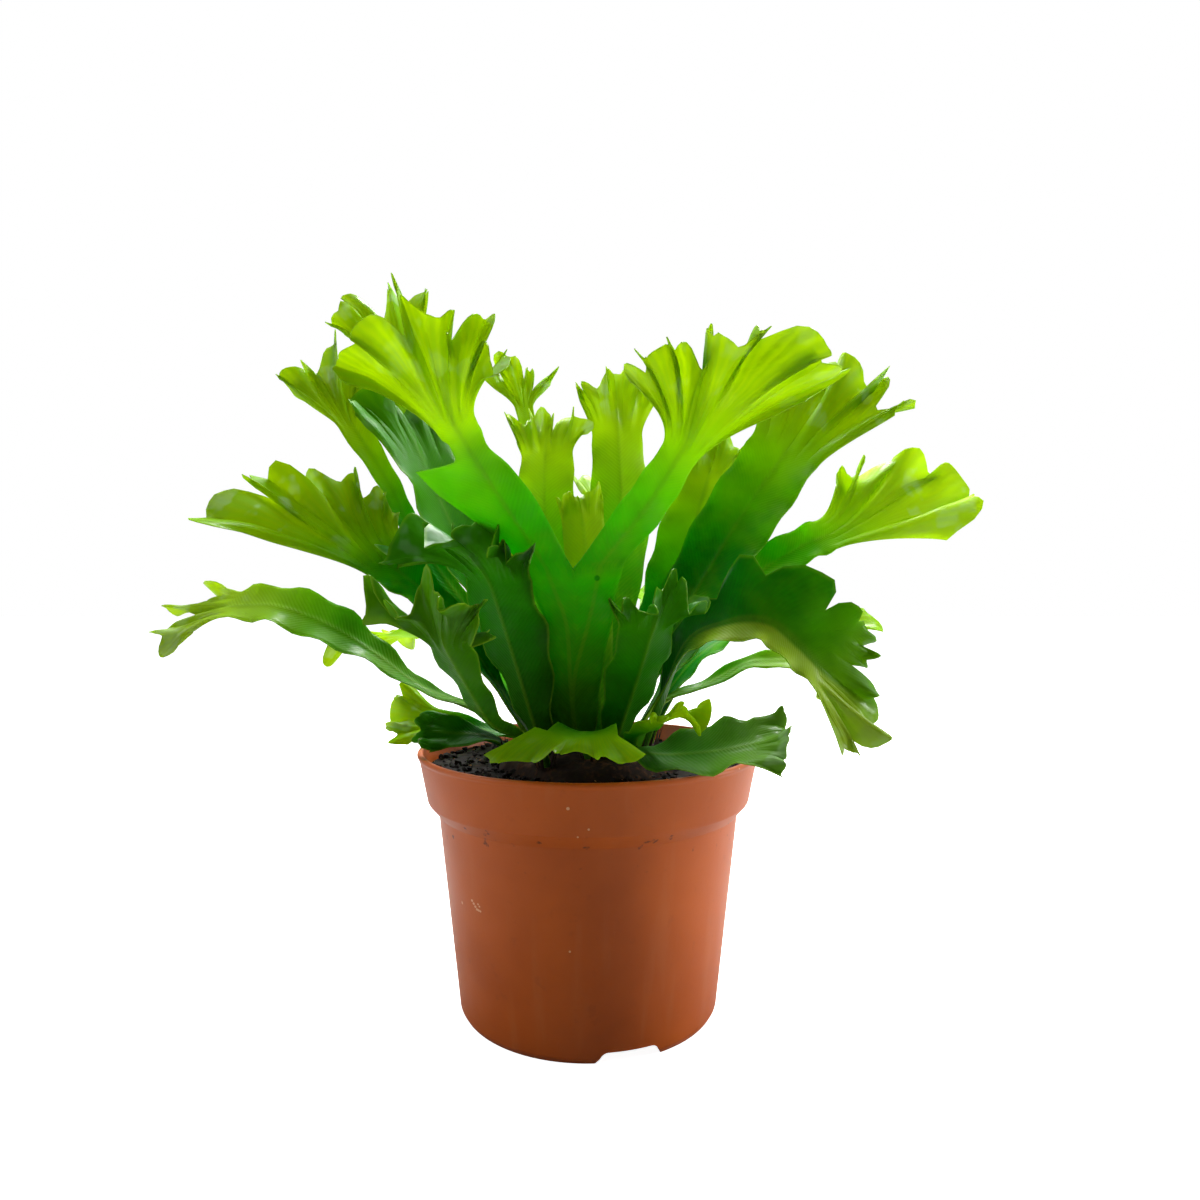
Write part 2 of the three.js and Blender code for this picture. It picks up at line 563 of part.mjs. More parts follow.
/** The pot: tapered body, rim band with a bead, foot ring with notches and a floor with drains. */
function potShape() {
  const floorTop = FLOOR_UNDERSIDE + FLOOR_THICKNESS;
  const slope = (BODY_TOP_RADIUS - FOOT_RADIUS) / BODY_TOP_HEIGHT;
  const inside = (height) => FOOT_RADIUS + slope * height - POT_WALL;
  let pot = turned([
    [0, FLOOR_UNDERSIDE],
    [inside(FLOOR_UNDERSIDE), FLOOR_UNDERSIDE],
    [inside(0) - HEEL / 2, 0],
    [FOOT_RADIUS - HEEL / 2, 0],
    [FOOT_RADIUS + slope * HEEL, HEEL],
    [BODY_TOP_RADIUS, BODY_TOP_HEIGHT],
    [BAND_FOOT_RADIUS, BAND_FOOT_HEIGHT],
    [RIM_RADIUS - RIM_BEAD, RIM_HEIGHT - RIM_BEAD_HEIGHT],
    [RIM_RADIUS, RIM_HEIGHT - RIM_BEAD_HEIGHT / 2],
    [RIM_RADIUS - RIM_BEAD / 2, RIM_HEIGHT],
    [RIM_RADIUS - RIM_BEAD - POT_WALL, RIM_HEIGHT],
    [BAND_FOOT_RADIUS - POT_WALL, BAND_FOOT_HEIGHT + 0.5],
    [BODY_TOP_RADIUS - POT_WALL, BODY_TOP_HEIGHT + 0.5],
    [inside(floorTop), floorTop],
    [0, floorTop],
  ], POT_SIDES);
  for (let i = 0; i < NOTCH_COUNT; i += 1) {
    const angle = (NOTCH_FIRST_ANGLE + i * 360 / NOTCH_COUNT) * DEGREE;
    pot = pot.subtract(toSolid(notchShape().rotateZ(angle)));
  }
  for (let i = 0; i < DRAIN_COUNT; i += 1) {
    const angle = (NOTCH_FIRST_ANGLE + i * 360 / DRAIN_COUNT) * DEGREE;
    const drain = new THREE.CylinderGeometry(DRAIN_RADIUS, DRAIN_RADIUS, 4 * FLOOR_THICKNESS, 12);
    drain.rotateX(Math.PI / 2).translate(
      DRAIN_RING_RADIUS * Math.cos(angle), DRAIN_RING_RADIUS * Math.sin(angle), floorTop,
    );
    pot = pot.subtract(toSolid(drain));
  }
  return toGeometry(pot);
}

/** The block that cuts one notch out of the foot ring, on the +X side. */
function notchShape() {
  const outline = new THREE.Shape();
  outline.moveTo(-NOTCH_WIDTH / 2, -1);
  outline.lineTo(NOTCH_WIDTH / 2, -1);
  outline.lineTo(NOTCH_TOP_WIDTH / 2, NOTCH_HEIGHT);
  outline.lineTo(-NOTCH_TOP_WIDTH / 2, NOTCH_HEIGHT);
  outline.closePath();
  const block = new THREE.ExtrudeGeometry(outline, { depth: FOOT_RADIUS, bevelEnabled: false });
  return block.rotateX(Math.PI / 2).rotateZ(Math.PI / 2).translate(FOOT_RADIUS / 2, 0, 0);
}

/** The soil: fills the pot to its edge height and has a plain recess for the crown. */
function soilShape() {
  const floorTop = FLOOR_UNDERSIDE + FLOOR_THICKNESS;
  const slope = (BODY_TOP_RADIUS - FOOT_RADIUS) / BODY_TOP_HEIGHT;
  const bandRise = RIM_HEIGHT - RIM_BEAD_HEIGHT - BAND_FOOT_HEIGHT;
  const bandSlope = (RIM_RADIUS - RIM_BEAD - BAND_FOOT_RADIUS) / bandRise;
  const reach = POT_WALL + SOIL_GAP;
  return turned([
    [0, floorTop + SOIL_GAP],
    [FOOT_RADIUS + slope * floorTop - reach, floorTop + SOIL_GAP],
    [BODY_TOP_RADIUS - reach, BODY_TOP_HEIGHT + 1],
    [BAND_FOOT_RADIUS - reach - 0.3, BAND_FOOT_HEIGHT + 1],
    [BAND_FOOT_RADIUS - reach + bandSlope * (SOIL_EDGE_HEIGHT - BAND_FOOT_HEIGHT), SOIL_EDGE_HEIGHT],
    [CROWN_RADIUS + 12, SOIL_EDGE_HEIGHT + 0.8],
    [CROWN_RADIUS + SOIL_GAP, SOIL_EDGE_HEIGHT + 0.2],
    [CROWN_RADIUS + SOIL_GAP, CROWN_BOTTOM - SOIL_GAP],
    [0, CROWN_BOTTOM - SOIL_GAP],
  ], SOIL_SIDES);
}

/** The crown: a low dome with a plain socket for each stalk. */
function crownShape() {
  let crown = turned([
    [0, CROWN_BOTTOM],
    [CROWN_RADIUS - 3, CROWN_BOTTOM],
    [CROWN_RADIUS - 0.3, CROWN_BOTTOM + 5],
    [CROWN_RADIUS - 0.3, CROWN_SHOULDER - 2],
    [CROWN_RADIUS - 2, CROWN_SHOULDER],
    [0, CROWN_TOP],
  ], CROWN_SIDES);
  for (const frond of fronds) {
    const azimuth = frond.azimuth * DEGREE;
    const radius = RINGS[frond.ring];
    const height = CROWN_TOP + 5 - SOCKET_FLOOR;
    const socket = new THREE.CylinderGeometry(SOCKET_RADIUS, SOCKET_RADIUS, height, SOCKET_SIDES);
    socket.rotateX(Math.PI / 2).rotateZ(azimuth + Math.PI / SOCKET_SIDES).translate(
      radius * Math.cos(azimuth), radius * Math.sin(azimuth), SOCKET_FLOOR + height / 2,
    );
    crown = crown.subtract(toSolid(socket));
  }
  return toGeometry(crown);
}

const fronds = [...FRONDS, ...BACK_FRONDS.map(arched)];
const group = new THREE.Group();
group.name = 'potted_fern';
group.add(part('pot', potShape(), POT_BROWN, 0.45));
group.add(part('soil', toGeometry(soilShape()), SOIL_BLACK, 0.95));
group.add(part('crown', crownShape(), CROWN_BROWN, 0.9));
for (const frond of fronds) {
  group.add(part(frond.name, frondShape(frond), frond.colour, 0.4));
}

export default group;
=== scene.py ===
"""A crested bird's nest fern in a plastic nursery pot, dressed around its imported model.

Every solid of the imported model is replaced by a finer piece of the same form. Sizes are in
millimetres and become metres when a mesh is made.
"""

import json
import logging
import math
from dataclasses import dataclass, field
from enum import Enum
from typing import Iterable, Optional, Union

import bmesh
import bpy
import numpy as np
from mathutils import Matrix, Vector, noise

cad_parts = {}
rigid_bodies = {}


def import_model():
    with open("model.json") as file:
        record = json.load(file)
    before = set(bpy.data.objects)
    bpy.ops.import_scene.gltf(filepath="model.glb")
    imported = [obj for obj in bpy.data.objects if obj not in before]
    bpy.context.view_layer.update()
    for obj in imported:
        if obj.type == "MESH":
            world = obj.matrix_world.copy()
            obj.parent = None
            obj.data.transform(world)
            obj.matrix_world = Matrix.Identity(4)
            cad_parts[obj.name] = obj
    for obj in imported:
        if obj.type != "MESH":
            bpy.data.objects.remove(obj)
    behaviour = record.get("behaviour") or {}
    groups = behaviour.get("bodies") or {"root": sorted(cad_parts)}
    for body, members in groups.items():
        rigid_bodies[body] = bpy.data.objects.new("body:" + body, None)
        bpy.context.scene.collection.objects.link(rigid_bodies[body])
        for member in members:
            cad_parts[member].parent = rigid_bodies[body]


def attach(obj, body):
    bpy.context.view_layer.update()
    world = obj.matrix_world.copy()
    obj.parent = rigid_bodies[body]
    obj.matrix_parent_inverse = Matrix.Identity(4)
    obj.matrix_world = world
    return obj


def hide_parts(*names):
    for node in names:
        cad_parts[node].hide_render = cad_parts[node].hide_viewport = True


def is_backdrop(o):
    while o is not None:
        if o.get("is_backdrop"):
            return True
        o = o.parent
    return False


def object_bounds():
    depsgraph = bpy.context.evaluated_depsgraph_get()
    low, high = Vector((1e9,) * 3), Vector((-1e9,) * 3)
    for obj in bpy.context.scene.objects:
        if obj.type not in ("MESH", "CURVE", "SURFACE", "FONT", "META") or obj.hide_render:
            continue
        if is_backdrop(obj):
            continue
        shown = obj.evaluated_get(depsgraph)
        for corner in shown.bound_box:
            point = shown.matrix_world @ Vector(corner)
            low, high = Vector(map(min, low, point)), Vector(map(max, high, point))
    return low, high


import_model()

log = logging.getLogger("potted_fern")

MM = 0.001
SEAM = 0.001
WHOLE_TURN = 2 * math.pi
BODY = "root"
RIM_ANGLE = math.radians(50)
SMOOTH_SPOT = 0.6
WHITE = (1.0, 1.0, 1.0, 1.0)

Colour = tuple[float, float, float, float]
Number = Union[int, float, "Value"]


def paint(red: int, green: int, blue: int) -> Colour:
    """Turns a display colour into the linear colour that a shader takes.

    Args:
        red: Red from 0 to 255.
        green: Green from 0 to 255.
        blue: Blue from 0 to 255.

    Returns:
        The linear colour, opaque.
    """
    channels = []
    for level in (red, green, blue):
        share = level / 255
        channels.append(share / 12.92 if share <= 0.04045 else ((share + 0.055) / 1.055) ** 2.4)
    return (*channels, 1.0)


def draw(seed: float, count: float) -> float:
    """Gives a steady draw between 0 and 1 for a plant part's seed and a count."""
    value = math.sin(seed * 12.9898 + count * 78.233) * 43758.5453
    return value - math.floor(value)


def ease(value: np.ndarray) -> np.ndarray:
    """Gives a soft step from 0 to 1."""
    held = np.clip(value, 0.0, 1.0)
    return held * held * (3 - 2 * held)


def unit(vectors: np.ndarray) -> np.ndarray:
    """Gives rows of vectors their unit length."""
    return vectors / np.linalg.norm(vectors, axis=1, keepdims=True)


class Value:
    """A number in a shader that takes part in Python expressions."""

    def __init__(self, shader: "Shader", socket: bpy.types.NodeSocket) -> None:
        """Wraps the output socket that carries the number."""
        self.shader = shader
        self.socket = socket

    def __add__(self, other: Number) -> "Value":
        """Adds."""
        return self.shader.math("ADD", self, other)

    def __radd__(self, other: Number) -> "Value":
        """Adds, with the number first."""
        return self.shader.math("ADD", other, self)

    def __sub__(self, other: Number) -> "Value":
        """Subtracts."""
        return self.shader.math("SUBTRACT", self, other)

    def __rsub__(self, other: Number) -> "Value":
        """Subtracts from a number."""
        return self.shader.math("SUBTRACT", other, self)

    def __mul__(self, other: Number) -> "Value":
        """Multiplies."""
        return self.shader.math("MULTIPLY", self, other)

    def __truediv__(self, other: Number) -> "Value":
        """Divides."""
        return self.shader.math("DIVIDE", self, other)

    def __pow__(self, other: Number) -> "Value":
        """Raises to a power."""
        return self.shader.math("POWER", self, other)

    def __abs__(self) -> "Value":
        """Drops the sign."""
        return self.shader.math("ABSOLUTE", self)

    def fraction(self) -> "Value":
        """Keeps what is past the whole number."""
        return self.shader.math("FRACT", self)

    def ramp(self, low: float, high: float) -> "Value":
        """Eases from 0 at one value to 1 at another.

        Args:
            low: Where the result is 0.
            high: Where the result is 1. It may be the smaller of the two.

        Returns:
            The eased number.
        """
        first, last = (low, high) if low < high else (high, low)
        node = self.shader.node(
            "ShaderNodeMapRange",
            {"interpolation_type": "SMOOTHSTEP"},
            {"Value": self, "From Min": first, "From Max": last},
        )
        eased = Value(self.shader, node.outputs["Result"])
        return eased if low < high else 1 - eased


class Shader:
    """A material or world under construction."""

    def __init__(self, holder: Union[bpy.types.Material, bpy.types.World]) -> None:
        """Starts with an empty node tree.

        Args:
            holder: The material or world whose nodes it makes.
        """
        self.holder = holder
        holder.use_nodes = True
        self.tree = holder.node_tree
        self.tree.nodes.clear()

    @classmethod
    def material(cls, name: str) -> "Shader":
        """Starts a new material under a name."""
        return cls(bpy.data.materials.new(name))

    def node(
        self,
        kind: str,
        settings: Optional[dict] = None,
        inputs: Optional[dict] = None,
    ) -> bpy.types.Node:
        """Adds one node.

        Args:
            kind: The node's type.
            settings: Values of the node itself, such as an operation, which are set first.
            inputs: Numbers, colours, sockets or Values for its inputs, by name or place.

        Returns:
            The new node.
        """
        node = self.tree.nodes.new(kind)
        for name, value in (settings or {}).items():
            setattr(node, name, value)
        for name, value in (inputs or {}).items():
            target = node.inputs[name]
            if isinstance(value, Value):
                self.tree.links.new(value.socket, target)
            elif isinstance(value, bpy.types.NodeSocket):
                self.tree.links.new(value, target)
            else:
                target.default_value = value
        return node

    def math(self, operation: str, *terms: Number) -> Value:
        """Adds one Math node and gives its result."""
        node = self.node("ShaderNodeMath", {"operation": operation}, dict(enumerate(terms)))
        return Value(self, node.outputs[0])

    def mix(
        self,
        share: Number,
        first: Union[Colour, bpy.types.NodeSocket],
        second: Union[Colour, bpy.types.NodeSocket],
    ) -> bpy.types.NodeSocket:
        """Mixes two colours.

        Args:
            share: How much of the second colour shows.
            first: The colour at 0.
            second: The colour at 1.

        Returns:
            The mixed colour.
        """
        inputs = {0: share, 6: first, 7: second}
        node = self.node("ShaderNodeMix", {"data_type": "RGBA"}, inputs)
        return node.outputs[2]

    def seen(self) -> Value:
        """Gives 1 where the picture itself looks and 0 for light on its way between things."""
        return Value(self, self.node("ShaderNodeLightPath").outputs["Is Camera Ray"])

    def parts(self, vector: bpy.types.NodeSocket) -> list[Value]:
        """Gives the three numbers of a vector."""
        node = self.node("ShaderNodeSeparateXYZ", None, {"Vector": vector})
        return [Value(self, output) for output in node.outputs]

    def attribute(self, name: str) -> list[Value]:
        """Gives the three numbers of a mesh attribute."""
        node = self.node("ShaderNodeAttribute", {"attribute_name": name})
        return self.parts(node.outputs["Vector"])

    def place(self) -> bpy.types.NodeSocket:
        """Gives the place on the object in metres."""
        return self.node("ShaderNodeTexCoord").outputs["Object"]

    def stretched(self, scale: tuple[float, float, float]) -> bpy.types.NodeSocket:
        """Gives the place on the object, stretched along each axis."""
        node = self.node("ShaderNodeMapping", None, {"Vector": self.place(), "Scale": scale})
        return node.outputs["Vector"]

    def noise(
        self,
        size: float,
        detail: float = 2.0,
        where: Optional[bpy.types.NodeSocket] = None,
    ) -> Value:
        """Adds a cloudy noise.

        Args:
            size: How large its clouds are, in millimetres.
            detail: How many finer layers it has.
            where: The coordinates it reads, in metres, or None for the place on the object.

        Returns:
            A number around 0.5.
        """
        node = self.node(
            "ShaderNodeTexNoise",
            None,
            {"Vector": where or self.place(), "Scale": 1 / (size * MM), "Detail": detail},
        )
        return Value(self, node.outputs[0])

    def spots(self, size: float, radius: float) -> Value:
        """Adds scattered round spots.

        Args:
            size: How far apart the spots are, in millimetres.
            radius: How large they are, as a share of that distance.

        Returns:
            1 inside the spots and 0 between them.
        """
        node = self.node(
            "ShaderNodeTexVoronoi", None, {"Vector": self.place(), "Scale": 1 / (size * MM)}
        )
        return Value(self, node.outputs["Distance"]).ramp(radius, radius * SMOOTH_SPOT)

    def mark(self, x: float, z: float, radius: float) -> Value:
        """Adds one small mark on the side that faces the front.

        Args:
            x: How far right of the middle it is, in millimetres.
            z: How high it is, in millimetres.
            radius: Its radius in millimetres.

        Returns:
            1 inside the mark and 0 around it.
        """
        right, away, up = self.parts(self.place())
        squared = (right / MM - x) ** 2 + (up / MM - z) ** 2
        front = away.ramp(0.0, -10 * MM)
        rim, core = 1.4 * radius**2, 0.5 * radius**2
        return squared.ramp(rim, core) * front

    def bump(self, height: Value, depth: float, strength: float = 1.0) -> bpy.types.NodeSocket:
        """Turns a height into a normal.

        Args:
            height: The height, where 1 stands for the whole depth.
            depth: That depth in millimetres.
            strength: How much of it shows.

        Returns:
            The normal.
        """
        node = self.node(
            "ShaderNodeBump", None, {"Height": height, "Distance": depth * MM, "Strength": strength}
        )
        return node.outputs["Normal"]

    def blend(self, share: Number, first: bpy.types.Node, second: bpy.types.Node) -> bpy.types.Node:
        """Mixes two shaders, the second by the share given."""
        inputs = {0: share, 1: first.outputs[0], 2: second.outputs[0]}
        return self.node("ShaderNodeMixShader", None, inputs)

    def finish(self, shader: bpy.types.Node) -> bpy.types.Material:
        """Puts a shader on the material's surface and gives the material back."""
        self.node("ShaderNodeOutputMaterial", None, {"Surface": shader.outputs[0]})
        return self.holder


class Side(Enum):
    """The two faces of a leaf."""

    UPPER = "upper"
    LOWER = "lower"


@dataclass(frozen=True)
class LeafFinish:
    """The living leaf: green skin with a pale midrib, fine veins and light showing through. Its colour
    is darker at the foot, partly painted shade, and lighter at the tip, partly painted light through it,
    with painted highlights on the crest and, on one look, a painted backlit band.
    """

    name: str
    # The foot colour is partly painted shade deep in the crown, and the tip colour is partly painted
    # light shining through the leaf.
    foot: Colour
    body: Colour
    tip: Colour
    under: Colour
    rib: Colour = paint(150, 196, 40)
    margin: Colour = paint(150, 200, 40)
    deep_glow: Colour = (0.012, 0.6, 0.001, 1.0)
    light_glow: Colour = (0.6, 0.75, 0.002, 1.0)
    shine: float = 0.3
    thinness: float = 0.6
    wax: float = 0.3
    # Painted highlight: how much whitish sheen colour is mixed into the crest in patches, and that
    # colour.
    painted_highlight: float = 0.4
    sheen: Colour = paint(216, 238, 206)
    # Painted light: a pale band along one half of the blade, where that half shows lit from behind.
    backlit_band: Optional[Colour] = None
    spot: Optional[tuple[float, float, float]] = None

    TIP_RISE = (0.42, 0.85)
    FOOT_SHADE_RISE = (0.46, 0.12)
    GLOW_RISE = (0.42, 0.9)
    LIGHT_RISE = (0.1, 0.8)
    BACKLIT_BAND_RISE = (0.3, 0.5)
    BACKLIT_BAND_ACROSS = (0.02, 0.3)
    RIB_RISE = (0.03, 0.2)
    RIB_WIDTH = (1.0, 0.35)
    RIB_FADE = (0.7, 0.1)
    VEIN_WIDTH = (0.1, 0.42)
    VEIN_FAN = (0.02, 0.4)
    MOTTLE = (0.5, 0.75)
    HIGHLIGHT_PATCH = (0.56, 0.66)
    HIGHLIGHT_CREST = (0.15, 0.6)
    WAX_PATCH = (0.5, 0.6)
    SIDE_EDGE = (0.93, 0.99)
    CREST_EDGE = (0.955, 0.99)
    UNDER_SHARE = 0.35
    VEIN_SHARE = 0.15
    MOTTLE_SHARE = 0.3
    RIB_SHARE = 0.14
    SPOT_SHARE = 0.9
    BACKLIT_BAND_SHARE = 0.8
    EDGE_SHARE = 0.3
    CLOUDING = 0.7
    SKIN_DEPTH = 0.35
    SKIN_STRENGTH = 0.7
    VEIN_HEIGHT = 0.22
    SKIN_HEIGHT = 0.9
    WOBBLE = 1.2
    LEAST_LIGHT = 0.2
    VEIN_LIGHT = 0.2
    RIB_SHADE = 0.25
    SHINE_SPREAD = 0.2
    SPECULAR = 0.06
    WAX_BLADE = 0.6
    WAX_CREST = 1.6
    WAX_ROUGHNESS = 0.24

    def skin(self, shader: Shader, side: Side) -> bpy.types.NodeSocket:
        """Paints the skin's colour from foot to tip, with its veins: darker at the foot as partly
        painted shade, lighter at the tip as partly painted light, with painted highlights and a painted
        backlit band.

        Args:
            shader: The material under construction.
            side: Which face of the leaf it is.

        Returns:
            The colour.
        """
        across, rise, crest = shader.attribute("leaf_place")
        clouds = shader.noise(16, 3)
        # Lighter towards the tip: partly the frond's own colour, partly painted light shining through
        # it.
        upward = (rise + (clouds - 0.5) * self.CLOUDING).ramp(*self.TIP_RISE)
        colour = shader.mix(upward, self.body, self.tip)
        # Darker towards the foot: partly the frond's own colour, partly painted shade among the stalks.
        colour = shader.mix(rise.ramp(*self.FOOT_SHADE_RISE), colour, self.foot)
        if side is Side.LOWER:
            colour = shader.mix(self.UNDER_SHARE, colour, self.under)
        colour = shader.mix(self.veins(shader) * self.VEIN_SHARE, colour, self.foot)
        mottle = shader.noise(5, 4).ramp(*self.MOTTLE) * rise * self.MOTTLE_SHARE
        colour = shader.mix(mottle, colour, self.tip)
        colour = shader.mix(self.rib_share(shader) * self.RIB_SHARE, colour, self.rib)
        if self.spot:
            colour = shader.mix(shader.mark(*self.spot) * self.SPOT_SHARE, colour, self.foot)
        # Painted backlight: a pale band along one half of the blade.
        if self.backlit_band:
            backlit_band = across.ramp(*self.BACKLIT_BAND_ACROSS) * rise.ramp(*self.BACKLIT_BAND_RISE) * self.BACKLIT_BAND_SHARE
            colour = shader.mix(backlit_band, colour, self.backlit_band)
        # Painted highlight: whitish patches of sheen mixed into the crest's colour.
        gloss = shader.noise(10, 2).ramp(*self.HIGHLIGHT_PATCH) * crest.ramp(*self.HIGHLIGHT_CREST) * self.painted_highlight
        colour = shader.mix(gloss, colour, self.sheen)
        side_edge, crest_edge = abs(across).ramp(*self.SIDE_EDGE), crest.ramp(*self.CREST_EDGE)
        edge = shader.math("MAXIMUM", side_edge, crest_edge)
        return shader.mix(edge * self.EDGE_SHARE, colour, self.margin)

    def rib_share(self, shader: Shader) -> Value:
        """Draws the midrib, which fades into the crest.

        Args:
            shader: The material under construction.

        Returns:
            1 on the rib and 0 beside it.
        """
        _, rise, crest = shader.attribute("leaf_place")
        from_rib, _, _ = shader.attribute("leaf_veins")
        shown = crest.ramp(*self.RIB_FADE)
        return abs(from_rib).ramp(*self.RIB_WIDTH) * shown * rise.ramp(*self.RIB_RISE)

    def veins(self, shader: Shader) -> Value:
        """Draws the side veins, which fan out in the crest.

        Args:
            shader: The material under construction.

        Returns:
            1 between the veins and 0 on them.
        """
        _, _, crest = shader.attribute("leaf_place")
        _, lateral, fan = shader.attribute("leaf_veins")
        wobble = (shader.noise(9, 2) - 0.5) * self.WOBBLE
        straight = abs((lateral + wobble).fraction() - 0.5).ramp(*self.VEIN_WIDTH)
        spread = abs((fan + wobble).fraction() - 0.5).ramp(*self.VEIN_WIDTH)
        share = crest.ramp(*self.VEIN_FAN)
        return straight * (1 - share) + spread * share

    def light_through(self, shader: Shader) -> Value:
        """Gives how much light passes: little at the foot and along the rib, most at the tip.

        Args:
            shader: The material under construction.

        Returns:
            The share.
        """
        _, rise, _ = shader.attribute("leaf_place")
        clouds = (shader.noise(11, 3) - 0.5) * self.CLOUDING
        share = rise.ramp(*self.LIGHT_RISE) * (1 - self.LEAST_LIGHT) + self.LEAST_LIGHT + clouds
        between = 1 - self.VEIN_LIGHT + self.veins(shader) * self.VEIN_LIGHT
        clear = between * (1 - self.rib_share(shader) * self.RIB_SHADE)
        return share * clear * self.thinness

    def material(self, side: Side) -> bpy.types.Material:
        """Makes the material for one face of the leaf.

        Args:
            side: Which face of the leaf it is.

        Returns:
            The material.
        """
        shader = Shader.material(f"{self.name}_{side.value}")
        _, rise, crest = shader.attribute("leaf_place")
        height = self.veins(shader) * self.VEIN_HEIGHT + shader.noise(3.5, 3) * self.SKIN_HEIGHT
        gloss = shader.noise(14, 3)
        waxed = crest * self.WAX_CREST + self.WAX_BLADE
        skin = shader.node(
            "ShaderNodeBsdfPrincipled",
            None,
            {
                "Base Color": self.skin(shader, side),
                "Roughness": gloss * self.SHINE_SPREAD + self.shine,
                "Specular IOR Level": self.SPECULAR,
                "Coat Weight": gloss.ramp(*self.WAX_PATCH) * waxed * self.wax,
                "Coat Roughness": self.WAX_ROUGHNESS,
                "Normal": shader.bump(height, self.SKIN_DEPTH, self.SKIN_STRENGTH),
            },
        )
        deep = shader.node("ShaderNodeBsdfTranslucent", None, {"Color": self.deep_glow})
        light = shader.node("ShaderNodeBsdfTranslucent", None, {"Color": self.light_glow})
        through = shader.blend(rise.ramp(*self.GLOW_RISE), deep, light)
        return shader.finish(shader.blend(self.light_through(shader), skin, through))


class Tone(Enum):
    """The four leaf finishes, each under its slot's name."""

    GREEN = "leaf_green"
    LIGHT = "leaf_light"
    DARK = "leaf_dark"
    PALE = "leaf_pale"


# The fronds whose colours differ from the rest of their tone, by name.
LOOKS = {
    "frond_right_arching": LeafFinish(
        "leaf_backlit_band",
        paint(2, 50, 1),
        paint(12, 84, 1),
        paint(86, 144, 6),
        paint(60, 120, 8),
        light_glow=(0.36, 0.6, 0.002, 1.0),
        thinness=0.42,
        painted_highlight=0.1,
        # Painted backlight on one half of the blade.
        backlit_band=paint(168, 196, 40),
    ),
    "frond_front_tall": LeafFinish(
        "leaf_spotted",
        paint(0, 38, 1),
        paint(4, 112, 1),
        paint(132, 190, 1),
        paint(110, 176, 14),
        painted_highlight=0.15,
        spot=(3.2, 149.4, 0.9),
    ),
    "frond_right_light": LeafFinish(
        "leaf_bright",
        paint(6, 88, 2),
        paint(88, 172, 1),
        paint(188, 228, 34),
        paint(184, 218, 60),
        light_glow=(0.7, 0.88, 0.01, 1.0),
    ),
    "frond_left_upright": LeafFinish(
        "leaf_shaded",
        paint(2, 40, 1),
        paint(10, 84, 1),
        paint(60, 132, 2),
        paint(60, 120, 8),
        light_glow=(0.3, 0.56, 0.002, 1.0),
        thinness=0.5,
        wax=0.05,
        painted_highlight=0.1,
    ),
    "frond_front_low": LeafFinish(
        "leaf_rolled",
        paint(0, 44, 1),
        paint(26, 112, 2),
        paint(104, 168, 6),
        paint(96, 160, 20),
        wax=0.6,
        painted_highlight=0.1,
    ),
    "frond_right_low": LeafFinish(
        "leaf_sheen",
        paint(20, 84, 8),
        paint(58, 116, 24),
        paint(96, 146, 40),
        paint(60, 120, 20),
        light_glow=(0.3, 0.55, 0.01, 1.0),
        thinness=0.35,
        wax=0.5,
        painted_highlight=0.15,
    ),
    # Darker than the green tone: painted shade, for the shadow of the fronds around it.
    "frond_front_left": LeafFinish(
        "leaf_rimmed",
        paint(4, 60, 1),
        paint(22, 92, 1),
        paint(64, 124, 1),
        paint(80, 140, 10),
        margin=paint(170, 204, 50),
        light_glow=(0.3, 0.55, 0.002, 1.0),
        thinness=0.42,
        painted_highlight=0.04,
    ),
}
LEAVES = {
    Tone.GREEN: LeafFinish(
        "leaf_green", paint(0, 38, 1), paint(4, 112, 1), paint(132, 190, 1), paint(110, 176, 14)
    ),
    Tone.LIGHT: LeafFinish(
        "leaf_light", paint(6, 88, 2), paint(76, 172, 1), paint(184, 226, 10), paint(176, 214, 44)
    ),
    Tone.DARK: LeafFinish(
        "leaf_dark",
        paint(0, 34, 1),
        paint(3, 72, 1),
        paint(40, 118, 2),
        paint(60, 120, 8),
        light_glow=(0.2, 0.5, 0.002, 1.0),
        thinness=0.36,
        wax=0.12,
        painted_highlight=0.12,
    ),
    Tone.PALE: LeafFinish(
        "leaf_pale",
        paint(24, 84, 4),
        paint(96, 156, 24),
        paint(150, 190, 40),
        paint(186, 216, 110),
        wax=0.6,
    ),
}


